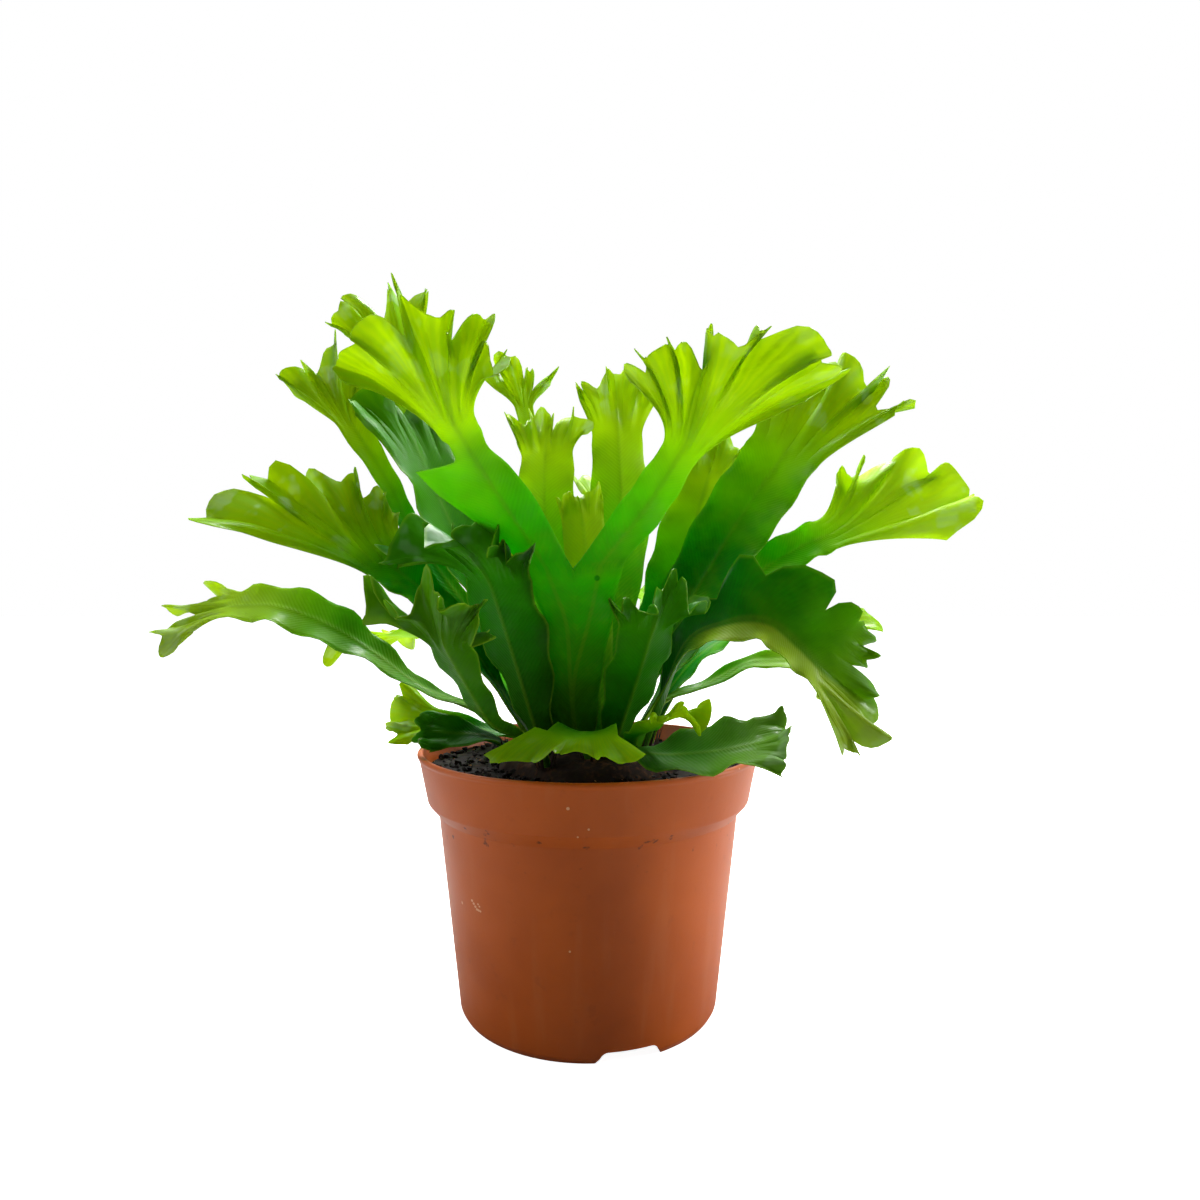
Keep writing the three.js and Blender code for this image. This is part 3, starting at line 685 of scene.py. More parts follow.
@dataclass(frozen=True)
class PotFinish:
    """Brown moulded plastic, satin, with faint flow lines, scuffs and a little dried soil."""

    colour: Colour = paint(184, 86, 20)
    deep: Colour = paint(160, 70, 12)
    scuff: Colour = paint(216, 160, 116)
    soil: Colour = paint(60, 36, 18)

    # Pale specks and the scratch on the front: right, up and radius in millimetres.
    SPECKS = (
        (-5.2, 82.4, 0.5), (0.8, 76.0, 0.35), (-2.4, 73.6, 0.3), (-36.6, 47.0, 0.4), (-36.0, 46.2, 0.4),
        (-35.4, 45.4, 0.4), (-34.8, 44.7, 0.4), (-34.2, 44.6, 0.4), (-33.6, 44.5, 0.35),
        (-34.4, 46.6, 0.3), (-33.9, 46.0, 0.3), (-5.0, 36.8, 0.35),
    )
    DIRT_FOOT = (0.058, 0.068)
    DIRT_TOP = (0.0745, 0.0725)
    DIRT_PATCH = (0.62, 0.72)
    BAND_DIRT = 0.8
    BODY_DIRT = 0.08
    CLOUD_PATCH = (0.35, 0.7)
    CLOUD_SHARE = 0.5
    STREAK_PATCH = (0.55, 0.75)
    STREAK_SHARE = 0.05
    STREAK_STRETCH = (1, 1, 0.06)
    SPOT_SPACING = 17
    SPOT_RADIUS = 0.045
    SPOT_SHARE = 0.8
    PEEL_STREAKS = 0.8
    PEEL_DEPTH = 0.05
    PEEL_STRENGTH = 0.4
    SHINE = 0.36
    SHINE_SPREAD = 0.12
    SPECULAR = 0.25

    def material(self) -> bpy.types.Material:
        """Makes the material.

        Returns:
            The material.
        """
        shader = Shader.material("pot")
        streaks = shader.noise(7, 3, shader.stretched(self.STREAK_STRETCH))
        clouds = shader.noise(34, 2)
        colour = shader.mix(clouds.ramp(*self.CLOUD_PATCH) * self.CLOUD_SHARE, self.colour, self.deep)
        colour = shader.mix(streaks.ramp(*self.STREAK_PATCH) * self.STREAK_SHARE, colour, self.scuff)
        _, _, height = shader.parts(shader.place())
        under_band = height.ramp(*self.DIRT_FOOT) * height.ramp(*self.DIRT_TOP)
        dirt = shader.noise(4, 5).ramp(*self.DIRT_PATCH) * (under_band * self.BAND_DIRT + self.BODY_DIRT)
        colour = shader.mix(dirt, colour, self.soil)
        spots = shader.spots(self.SPOT_SPACING, self.SPOT_RADIUS)
        colour = shader.mix(spots * self.SPOT_SHARE, colour, self.scuff)
        for x, z, radius in self.SPECKS:
            colour = shader.mix(shader.mark(x, z, radius), colour, self.scuff)
        peel = shader.noise(1.4, 2) + streaks * self.PEEL_STREAKS
        skin = shader.node(
            "ShaderNodeBsdfPrincipled",
            None,
            {
                "Base Color": colour,
                "Roughness": clouds * self.SHINE_SPREAD + self.SHINE,
                "Specular IOR Level": self.SPECULAR,
                "Normal": shader.bump(peel, self.PEEL_DEPTH, self.PEEL_STRENGTH),
            },
        )
        return shader.finish(skin)


@dataclass(frozen=True)
class EarthFinish:
    """A crumbly, fibrous or scaly dull matter in two shades."""

    name: str
    dark: Colour
    light: Colour
    grain: float = 1.6

    GRAIN_PATCH = (0.42, 0.75)
    LIGHT_PATCH = (0.3, 0.7)
    PATCH_GRAINS = 6
    ROUGHNESS = 0.8
    ROUGHNESS_SPREAD = 0.2
    SPECULAR = 0.25
    GRAIN_DEPTH = 0.5

    def material(self) -> bpy.types.Material:
        """Makes the material.

        Returns:
            The material.
        """
        shader = Shader.material(self.name)
        grain = shader.noise(self.grain, 5)
        patches = shader.noise(self.grain * self.PATCH_GRAINS, 3)
        share = grain.ramp(*self.GRAIN_PATCH) * patches.ramp(*self.LIGHT_PATCH)
        skin = shader.node(
            "ShaderNodeBsdfPrincipled",
            None,
            {
                "Base Color": shader.mix(share, self.dark, self.light),
                "Roughness": grain * self.ROUGHNESS_SPREAD + self.ROUGHNESS,
                "Specular IOR Level": self.SPECULAR,
                "Normal": shader.bump(grain, self.GRAIN_DEPTH),
            },
        )
        return shader.finish(skin)


def make_piece(
    name: str,
    mesh: bmesh.types.BMesh,
    materials: Iterable[bpy.types.Material],
    node: Optional[str] = None,
) -> bpy.types.Object:
    """Turns a finished mesh into a piece of the object.

    Args:
        name: The piece's name.
        mesh: Its mesh, in millimetres, which is used up.
        materials: Its materials.
        node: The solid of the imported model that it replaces, or None.

    Returns:
        The piece.
    """
    bmesh.ops.scale(mesh, vec=(MM, MM, MM), verts=mesh.verts)
    data = bpy.data.meshes.new(name)
    mesh.to_mesh(data)
    mesh.free()
    piece = bpy.data.objects.new(name, data)
    bpy.context.scene.collection.objects.link(piece)
    for material in materials:
        data.materials.append(material)
    data.shade_smooth()
    data.set_sharp_from_angle(angle=RIM_ANGLE)
    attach(piece, BODY)
    if node:
        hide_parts(node)
    log.info("%s: %d faces", name, len(data.polygons))
    return piece


def settle(piece: bpy.types.Object) -> None:
    """Works a piece's modifiers into its mesh and marks its sharp edges.

    Args:
        piece: The piece.
    """
    graph = bpy.context.evaluated_depsgraph_get()
    whole = bpy.data.meshes.new_from_object(piece.evaluated_get(graph))
    piece.modifiers.clear()
    piece.data = whole
    whole.shade_smooth()
    whole.set_sharp_from_angle(angle=RIM_ANGLE)


@dataclass(frozen=True)
class Crest:
    """The ruffled fan at the end of a limb: lobe reaches, side angles, cuts, ruffles and droop."""

    lobes: tuple[float, ...]
    start: float
    end: float
    cut: float
    wave: float
    droop: float
    ragged: float = 1.0


@dataclass(frozen=True)
class Hem:
    """One side of a blade that carries a leaning spur, or is widened and cut into lobes."""

    side: int
    spur: float = 0.0
    lean: float = 0.0
    at: float = 0.0
    below: float = 0.0
    above: float = 0.0
    start: float = 0.0
    lobes: int = 0
    cut: float = 0.0
    widen: float = 1.0


@dataclass
class Limb:
    """One ribbon of a frond: its line of x, y, z, width and roll, and how it ends."""

    line: np.ndarray
    heading: float
    seed: float
    crest: Optional[Crest] = None
    hem: Optional[Hem] = None
    parent: Optional["Limb"] = None
    hand: int = 0
    beyond: float = 0.0
    fold: float = 0.22

    FORK_FADE = 0.5
    LOOSENESS = 0.3
    SHARPNESS = 4
    HEM_RISE = 0.12
    TOOTH = 1.4
    SCALLOP_WIDTH = 5.6
    NOTCH = 4.6
    CRENEL = 0.7
    ROLL = 3.2
    STALK_ROWS = 3
    STALK_THICKNESS = 2.4
    BLADE_THICKNESS = 0.8
    EDGE_THICKNESS = 0.3
    RIB_THICKNESS = 0.8
    RIB_WIDTH = 1.1
    MARGIN_WAVE = 1.5
    MARGIN_LENGTH = 15.0
    FRILL = 2.4
    FINE_FRILL = 2.2
    PLEAT = 4.4
    CURL = 2.8
    BROAD_LOBE = 14.0
    SWIRL = 0.1
    RIDGE = 1.3
    VEIN_SPACING = 1.3
    VEIN_SLANT = 0.9
    FAN_VEINS = 4.5
    LINE_STEP = 0.01
    SPUR_POINT = 1.35
    CRENELS = 2.3
    LEAST_CUT = 0.3
    MORE_CUT = 0.9
    LEAST_NOTCH = 0.25
    MORE_NOTCH = 0.75
    BLADE_ROW = 2.8
    LEAST_BLADE_ROWS = 12
    CREST_ROW = 1.7
    LEAST_CREST_ROWS = 14

    def along(self, place: np.ndarray) -> np.ndarray:
        """Reads the line smoothly.

        Args:
            place: Places from 0 at the line's start to 1 at its end.

        Returns:
            One row of x, y, z, width and roll for each place.
        """
        rows = self.line
        rows = np.vstack([2 * rows[0] - rows[1], rows, 2 * rows[-1] - rows[-2]])
        last = len(self.line) - 1
        spot = np.clip(place, 0, 1) * last
        index = np.minimum(np.floor(spot).astype(int), last - 1)
        rest = (spot - index)[:, None]
        a, b, c, d = rows[index], rows[index + 1], rows[index + 2], rows[index + 3]
        cubic = 3 * b - a - 3 * c + d
        square = 2 * a - 5 * b + 4 * c - d
        return b + 0.5 * ((c - a) * rest + square * rest**2 + cubic * rest**3)

    def axes(self, place: np.ndarray) -> tuple[np.ndarray, np.ndarray, np.ndarray, np.ndarray]:
        """Finds the middle of the ribbon and its directions.

        Args:
            place: Places along the line.

        Returns:
            Centre, run, side and face for each place.
        """
        here = self.along(place)
        ahead = self.along(np.minimum(place + self.LINE_STEP, 1))[:, :3]
        run = unit(ahead - self.along(np.maximum(place - self.LINE_STEP, 0))[:, :3])
        level = np.array([math.sin(self.heading), -math.cos(self.heading), 0.0])
        side = unit(level - run * (run @ level)[:, None])
        roll = -np.radians(here[:, 4])[:, None]
        side = side * np.cos(roll) + np.cross(run, side) * np.sin(roll)
        return here[:, :3], run, side, np.cross(side, run)

    def hem_reach(
        self, half: np.ndarray, place: np.ndarray, t: np.ndarray
    ) -> tuple[np.ndarray, np.ndarray]:
        """Shapes the blade's two halves by its hem.

        Args:
            half: Half the blade's plain width.
            place: Places along the line.
            t: Places across the blade, from -1 to 1.

        Returns:
            Half the width with the hem, and how far the hem leans along the line.
        """
        hem = self.hem
        if hem is None:
            return half, np.zeros_like(t)
        mine = np.sign(t) == hem.side
        if hem.spur:
            off = place - hem.at
            slope = np.where(off < 0, -off / hem.below, off / hem.above)
            peak = np.maximum(0, 1 - slope) ** self.SPUR_POINT * t * t * mine
            return half + hem.spur * peak, hem.lean * peak
        past = place - hem.start
        cuts = hem.cut * self.cut_at(past / (1 - hem.start) * hem.lobes) * abs(t) * (past > 0)
        wide = 1 + (hem.widen - 1) * ease(past / self.HEM_RISE)
        return np.where(mine, half * wide * (1 - cuts), half), np.zeros_like(t)

    def cut_at(self, phase: np.ndarray) -> np.ndarray:
        """Gives 1 in a cut between lobes and near 0 over the lobes."""
        return (0.5 + 0.5 * np.cos(WHOLE_TURN * phase)) ** self.SHARPNESS

    def margin_wave(self, place: np.ndarray, t: np.ndarray, half: np.ndarray) -> np.ndarray:
        """Gives the gentle waves of the blade's two edges.

        Args:
            place: Places along the line.
            t: Places across the blade.
            half: Half the blade's width.

        Returns:
            How far the blade rises, in millimetres.
        """
        turn = place * self.length() / self.MARGIN_LENGTH + np.sign(t) * draw(self.seed, 70)
        size = self.MARGIN_WAVE * np.clip(half / 9, 0, 1) * ease(place * 3 - 0.6)
        return size * abs(t) ** 2.5 * np.sin(WHOLE_TURN * turn)

    def length(self) -> float:
        """Gives the length of the line."""
        points = self.line[:, :3]
        return float(np.linalg.norm(np.diff(points, axis=0), axis=1).sum())

    def blade(self, place: np.ndarray, t: np.ndarray) -> np.ndarray:
        """Finds points of the blade.

        Args:
            place: Places along the line.
            t: Places across the blade.

        Returns:
            The points.
        """
        centre, run, side, face = self.axes(place)
        plain = self.along(place)[:, 3] / 2
        half, lean = self.hem_reach(plain, place, t)
        lift = self.fold * half * abs(t) ** 1.5 + self.margin_wave(place, t, plain)
        return centre + side * (t * half)[:, None] + face * lift[:, None] + run * lean[:, None]

    def body(self, place: np.ndarray, t: np.ndarray) -> np.ndarray:
        """Finds points of the blade, eased out of the parent's last row on a branch.

        Args:
            place: Places along the line.
            t: Places across the blade.

        Returns:
            The points.
        """
        points = self.blade(place, t)
        if self.parent is None:
            return points
        left = (1 - ease(place / self.FORK_FADE))[:, None]
        wanted = self.parent.blade(np.ones_like(t), (t + self.hand) / 2)
        return points + (wanted - self.blade(np.zeros_like(t), t)) * left

    def crest_reach(self, t: np.ndarray) -> np.ndarray:
        """Gives how far the crest reaches, with its lobes, cuts and teeth.

        Args:
            t: Places across the crest.

        Returns:
            The reach in millimetres.
        """
        lobes = np.array(self.crest.lobes)
        phase = (t + 1) / 2 * len(lobes)
        lobe = np.minimum(np.floor(phase), len(lobes) - 1).astype(int)
        nearest = np.rint(phase).astype(int)
        other = np.clip(nearest - np.where(nearest > lobe, 0, 1), 0, len(lobes) - 1)
        share = ease(1 - 2 * abs(phase - nearest)) / 2
        plain = lobes[lobe] + (lobes[other] - lobes[lobe]) * share
        drawn = np.array([draw(self.seed, count) for count in range(len(lobes) + 1)])
        depth = self.crest.cut * (self.LEAST_CUT + self.MORE_CUT * drawn[nearest])
        scallops = self.scallops(t)
        notch = 1 - abs(np.sin(math.pi * scallops))
        size = np.array([draw(self.seed, 80 + count) for count in range(len(lobes) * 5)])
        drawn_size = size[np.rint(scallops).astype(int) % len(size)]
        deep = self.NOTCH * (self.LEAST_NOTCH + self.MORE_NOTCH * drawn_size)
        crenel = self.CRENEL * abs(np.sin(math.pi * self.CRENELS * scallops))
        teeth = self.TOOTH - deep * notch + crenel
        return plain * (1 - depth * self.cut_at(phase)) + teeth * self.crest.ragged

    def edge_length(self) -> float:
        """Gives the rough length of the crest's edge.

        Returns:
            The length in millimetres.
        """
        crest = self.crest
        reach = sum(crest.lobes) / len(crest.lobes)
        return math.radians(crest.end - crest.start) * reach + self.line[-1, 3]

    def scallops(self, t: np.ndarray) -> np.ndarray:
        """Counts the small rounded lobes of the crest's edge, which are unevenly wide.

        Args:
            t: Places across the crest.

        Returns:
            How many of them lie before each place, counted across the crest.
        """
        count = max(self.edge_length() / self.SCALLOP_WIDTH, len(self.crest.lobes))
        phase = (t + 1) / 2
        uneven = np.sin(WHOLE_TURN * (2.3 * phase + draw(self.seed, 44)))
        finer = np.sin(WHOLE_TURN * (5.1 * phase + draw(self.seed, 45)))
        return count * (phase + 0.025 * uneven + 0.012 * finer)

    def fan(self, t: np.ndarray, share: np.ndarray) -> np.ndarray:
        """Finds points of the crest.

        Args:
            t: Places across the crest.
            share: Places out from the blade's end, 0, to the crest's edge, 1.

        Returns:
            The points.
        """
        centre, run, side, face = self.axes(np.ones_like(t))
        crest = self.crest
        reach = max(crest.lobes)
        half = self.along(np.ones_like(t))[:, 3] / 2
        if self.hem:
            half = half * np.where(np.sign(t) == self.hem.side, self.hem.widen, 1)
        out = share * self.crest_reach(t)
        turn = np.radians(crest.start + (crest.end - crest.start) * (t + 1) / 2)
        phase = (t + 1) / 2 * len(crest.lobes)
        turn = turn * out / (out + self.LOOSENESS * reach)
        turn = turn + self.SWIRL * share**2 * np.sin(WHOLE_TURN * (phase * 0.83 + draw(self.seed, 42)))
        ahead = out * np.cos(turn)
        across = t * half + out * np.sin(turn)
        bend = math.radians(crest.droop) / reach
        angle = bend * ahead
        far, drop = np.sin(angle) / bend, (1 - np.cos(angle)) / bend
        up = face * np.cos(angle)[:, None] + run * np.sin(angle)[:, None]
        lift = self.fold * half * abs(t) ** 1.5 * (1 - share) + self.ruffle(t, share, out / reach)
        start = self.margin_wave(np.ones_like(t), t, half) * (1 - ease(share * 1.6))
        return (
            centre
            + side * across[:, None]
            + run * far[:, None]
            - face * drop[:, None]
            + up * (lift + start)[:, None]
        )

    def ruffle(self, t: np.ndarray, share: np.ndarray, far: np.ndarray) -> np.ndarray:
        """Gives the ruffles, frills and curled tips of the crest.

        Args:
            t: Places across the crest.
            share: Places out towards the crest's edge.
            far: How far out each point is, as a share of the longest lobe.

        Returns:
            How far the crest rises, in millimetres.
        """
        lobes = len(self.crest.lobes)
        phase = (t + 1) / 2 * lobes
        broad = self.crest.wave * far**1.5 * np.sin(math.pi * (phase + draw(self.seed, 40)))
        frill = self.FRILL * share**2 * np.sin(WHOLE_TURN * (phase * 1.23 + draw(self.seed, 41)))
        fine = self.FINE_FRILL * share**3 * np.sin(math.pi * (self.scallops(t) + draw(self.seed, 43)))
        pleat = self.PLEAT * far * (1 - 0.5 * share**2) * (abs(np.sin(math.pi * phase)) ** 0.7 - 0.6)
        lobe = np.minimum(np.floor(phase), lobes - 1).astype(int)
        drawn = np.array([draw(self.seed, 50 + count) * 2 - 1 for count in range(lobes)])
        curl = self.CURL * drawn[lobe] * np.sin(math.pi * (phase - lobe)) ** 2 * share**3
        ridge = self.RIDGE * far * (abs(np.sin(math.pi * self.scallops(t))) ** 0.8 - 0.6)
        roll = self.ROLL * ease((share - 0.7) / 0.3)
        roll = roll * np.sin(WHOLE_TURN * (phase * 0.57 + draw(self.seed, 46)))
        supple = min(self.edge_length() / lobes / self.BROAD_LOBE, 1.0) * self.crest.ragged
        small = (fine + ridge * ease(share * 2)) * self.crest.ragged
        return (broad + frill + pleat + curl + roll) * supple + small

    def thickness(self, place: np.ndarray, t: np.ndarray, share: np.ndarray) -> np.ndarray:
        """Gives the thickness of the ribbon: a round stalk that thins into a blade with a rib.

        Args:
            place: Places along the line.
            t: Places across.
            share: Places out in the crest.

        Returns:
            The thickness in millimetres.
        """
        thin = np.ones_like(t)
        if self.parent is None:
            thin = ease(place * (len(self.line) - 1) / self.STALK_ROWS)
        stalk = self.STALK_THICKNESS * np.sqrt(np.maximum(1 - 0.9 * t * t, 0.02))
        edge = ease((1 - abs(t)) * 8) * ease((1 - share) * 8)
        blade = self.EDGE_THICKNESS + (self.BLADE_THICKNESS - self.EDGE_THICKNESS) * edge
        half = self.along(place)[:, 3] / 2
        fade = (1 - ease(share * 1.5)) * (1 - 0.5 * place)
        rib = self.RIB_THICKNESS * np.exp(-((t * half / self.RIB_WIDTH) ** 2)) * fade
        if self.parent is not None:
            rib = rib * ease(place * 2)
        return stalk * (1 - thin) + (blade + rib) * thin

    def grow(self, mesh: bmesh.types.BMesh, columns: int) -> None:
        """Adds the ribbon to a frond's mesh.

        Args:
            mesh: The frond's mesh.
            columns: How many faces lie across the ribbon.
        """
        blade_rows = max(self.LEAST_BLADE_ROWS, round(self.length() / self.BLADE_ROW))
        crest_rows = 0
        if self.crest:
            crest_rows = max(self.LEAST_CREST_ROWS, round(max(self.crest.lobes) / self.CREST_ROW))
        rows = blade_rows + crest_rows
        made = bmesh.ops.create_grid(mesh, x_segments=columns, y_segments=rows, size=1)["verts"]
        spots = np.array([vert.co for vert in made])
        t = np.clip(spots[:, 0], -1, 1)
        step = (spots[:, 1] + 1) / 2 * rows
        place = np.clip(step / blade_rows, 0, 1)
        share = np.clip((step - blade_rows) / max(crest_rows, 1), 0, 1)
        points = self.body(place, t)
        if self.crest:
            points = np.where((share > 0)[:, None], self.fan(t, share), points)
        self.write(mesh, made, points, self.facts(place, t, share))

    def facts(self, place: np.ndarray, t: np.ndarray, share: np.ndarray) -> list[np.ndarray]:
        """Works out what the finish and the thickness read at each point.

        Args:
            place: Places along the line.
            t: Places across.
            share: Places out in the crest.

        Returns:
            Three numbers for the place, three for the veins, and the thickness.
        """
        half = self.along(place)[:, 3] / 2
        reach = max(self.crest.lobes) if self.crest else 0.0
        before = self.parent.length() if self.parent else 0.0
        total = before + self.length() + reach + self.beyond
        arc = before + place * self.length() + share * reach
        lateral = (arc - self.VEIN_SLANT * abs(t) * half) / self.VEIN_SPACING
        fan = t * (len(self.crest.lobes) if self.crest else 1) * self.FAN_VEINS
        from_rib = np.where(share > 0, t * (half + share * reach * 0.5), t * half)
        if self.crest is None:
            from_rib = abs(from_rib) - half / 2 * ease(place * 2 - 1)
        thick = self.thickness(place, t, share) / (self.STALK_THICKNESS + self.RIB_THICKNESS)
        spot = np.stack([t, arc / total, share], axis=1)
        return [spot, np.stack([from_rib, lateral, fan], axis=1), thick]

    @staticmethod
    def write(
        mesh: bmesh.types.BMesh,
        made: list[bmesh.types.BMVert],
        points: np.ndarray,
        facts: list[np.ndarray],
    ) -> None:
        """Moves a grid's corners to their points and notes what the finish reads there.

        Args:
            mesh: The frond's mesh.
            made: The grid's corners.
            points: Their points.
            facts: Place, veins and thickness at each of them.
        """
        place = mesh.verts.layers.float_vector["leaf_place"]
        veins = mesh.verts.layers.float_vector["leaf_veins"]
        deform = mesh.verts.layers.deform.verify()
        for vert, point, spot, lines, thick in zip(made, points, *facts):
            vert.co = point
            vert[place] = spot
            vert[veins] = lines
            vert[deform][0] = float(min(thick, 1.0))


RINGS = {"inner": 5, "middle": 12, "outer": 20, "edge": 28}
STALK_FOOT = 78
STALK_NECK = 89
STALK_WIDTH = 3.8


@dataclass
class Frond:
    """One frond: where it stands in the crown, the way it heads and the limbs it is made of."""

    name: str
    ring: str
    azimuth: float
    heading: float
    seed: int
    tone: Tone
    line: list[tuple[float, ...]]
    crest: Optional[Crest] = None
    hem: Optional[Hem] = None
    forks: list[dict] = field(default_factory=list)
    fold: float = 0.22

    FORK_LENGTH = 70.0
    FORK_COLUMNS = 128
    LOBE_COLUMNS = 16
    LEAST_COLUMNS = 64

    def limbs(self) -> list[Limb]:
        """Plants the trunk limb in its ring and hangs the branches on it.

        Returns:
            The trunk, then its branches.
        """
        azimuth = math.radians(self.azimuth)
        radius = RINGS[self.ring]
        foot = (radius * math.cos(azimuth), radius * math.sin(azimuth))
        rows = [
            (*foot, STALK_FOOT, STALK_WIDTH, 0),
            (*foot, STALK_NECK, STALK_WIDTH, 0),
            *self.line,
        ]
        heading = math.radians(self.heading)
        beyond = self.FORK_LENGTH if self.forks else 0.0
        trunk = Limb(
            np.array(rows, float),
            heading,
            self.seed,
            self.crest,
            self.hem,
            beyond=beyond,
            fold=self.fold,
        )
        return [trunk, *(self.branch(trunk, i, fork) for i, fork in enumerate(self.forks))]

    def branch(self, trunk: Limb, index: int, fork: dict) -> Limb:
        """Hangs one branch on the trunk.

        Args:
            trunk: The trunk limb.
            index: 0 for the branch on the trunk's negative side, 1 for the other.
            fork: The branch's line, crest and hem.

        Returns:
            The branch.
        """
        hand = -1 if index == 0 else 1
        centre, _, side, _ = trunk.axes(np.ones(1))
        width = trunk.line[-1, 3] / 2
        start = centre[0] + side[0] * hand * width / 2
        rows = np.array([(*start, width, trunk.line[-1, 4]), *fork["line"]], float)
        return Limb(
            rows,
            trunk.heading,
            self.seed + index + 0.5,
            fork["crest"],
            fork.get("hem"),
            parent=trunk,
            hand=hand,
            fold=self.fold,
        )

    def build(self, materials: list[bpy.types.Material]) -> bpy.types.Object:
        """Builds the frond as one thin solid.

        Args:
            materials: The finishes of its upper and lower face.

        Returns:
            The piece.
        """
        mesh = bmesh.new()
        mesh.verts.layers.deform.verify()
        mesh.verts.layers.float_vector.new("leaf_place")
        mesh.verts.layers.float_vector.new("leaf_veins")
        limbs = self.limbs()
        for limb in limbs:
            lobes = len(limb.crest.lobes) if limb.crest else 8
            columns = min(max(lobes * self.LOBE_COLUMNS, self.LEAST_COLUMNS), self.FORK_COLUMNS)
            if self.forks:
                columns = self.FORK_COLUMNS if limb.parent else 2 * self.FORK_COLUMNS
            limb.grow(mesh, columns)
        bmesh.ops.remove_doubles(mesh, verts=mesh.verts, dist=2 * SEAM)
        piece = make_piece(self.name, mesh, materials, self.name)
        piece.vertex_groups.new(name="thickness")
        shell = piece.modifiers.new("shell", "SOLIDIFY")
        shell.thickness = (Limb.STALK_THICKNESS + Limb.RIB_THICKNESS) * MM
        shell.offset = 0
        shell.vertex_group = "thickness"
        shell.material_offset = 1
        settle(piece)
        return piece


def arched(
    ring: str,
    azimuth: float,
    seed: int,
    tone: Tone,
    rise: float,
    fall: float,
    length: float,
    width: float,
) -> Frond:
    """Gives a back frond that heads along its azimuth and arches over.

    Args:
        ring: The ring of the crown that it stands in.
        azimuth: Where it stands and heads, in degrees.
        seed: The seed of its draws.
        tone: Its finish.
        rise: Its elevation at the foot, in degrees.
        fall: Its elevation at the tip, in degrees.
        length: The length of its blade.
        width: The greatest width of its blade.

    Returns:
        The frond.
    """
    away = (math.cos(math.radians(azimuth)), math.sin(math.radians(azimuth)))
    steps = 4
    reach, height = float(RINGS[ring]), float(STALK_NECK)
    line = []
    for i in range(steps):
        lean = math.radians(rise + (fall - rise) * i / (steps - 1))
        reach += length / steps * math.cos(lean)
        height += length / steps * math.sin(lean)
        sway = 3 * math.sin(i + seed)
        wide = width * (0.35 + 0.65 * float(ease(np.array((i + 0.5) / steps))))
        x = reach * away[0] - sway * away[1]
        y = reach * away[1] + sway * away[0]
        line.append((x, y, height, wide, 0))
    lobes = tuple(width * (0.75 + 0.5 * draw(seed, lobe + 60)) for lobe in range(5))
    crest = Crest(lobes, -50, 50, 0.35, 4, 20)
    return Frond(f"frond_back_{azimuth:g}", ring, azimuth, azimuth, seed, tone, line, crest)


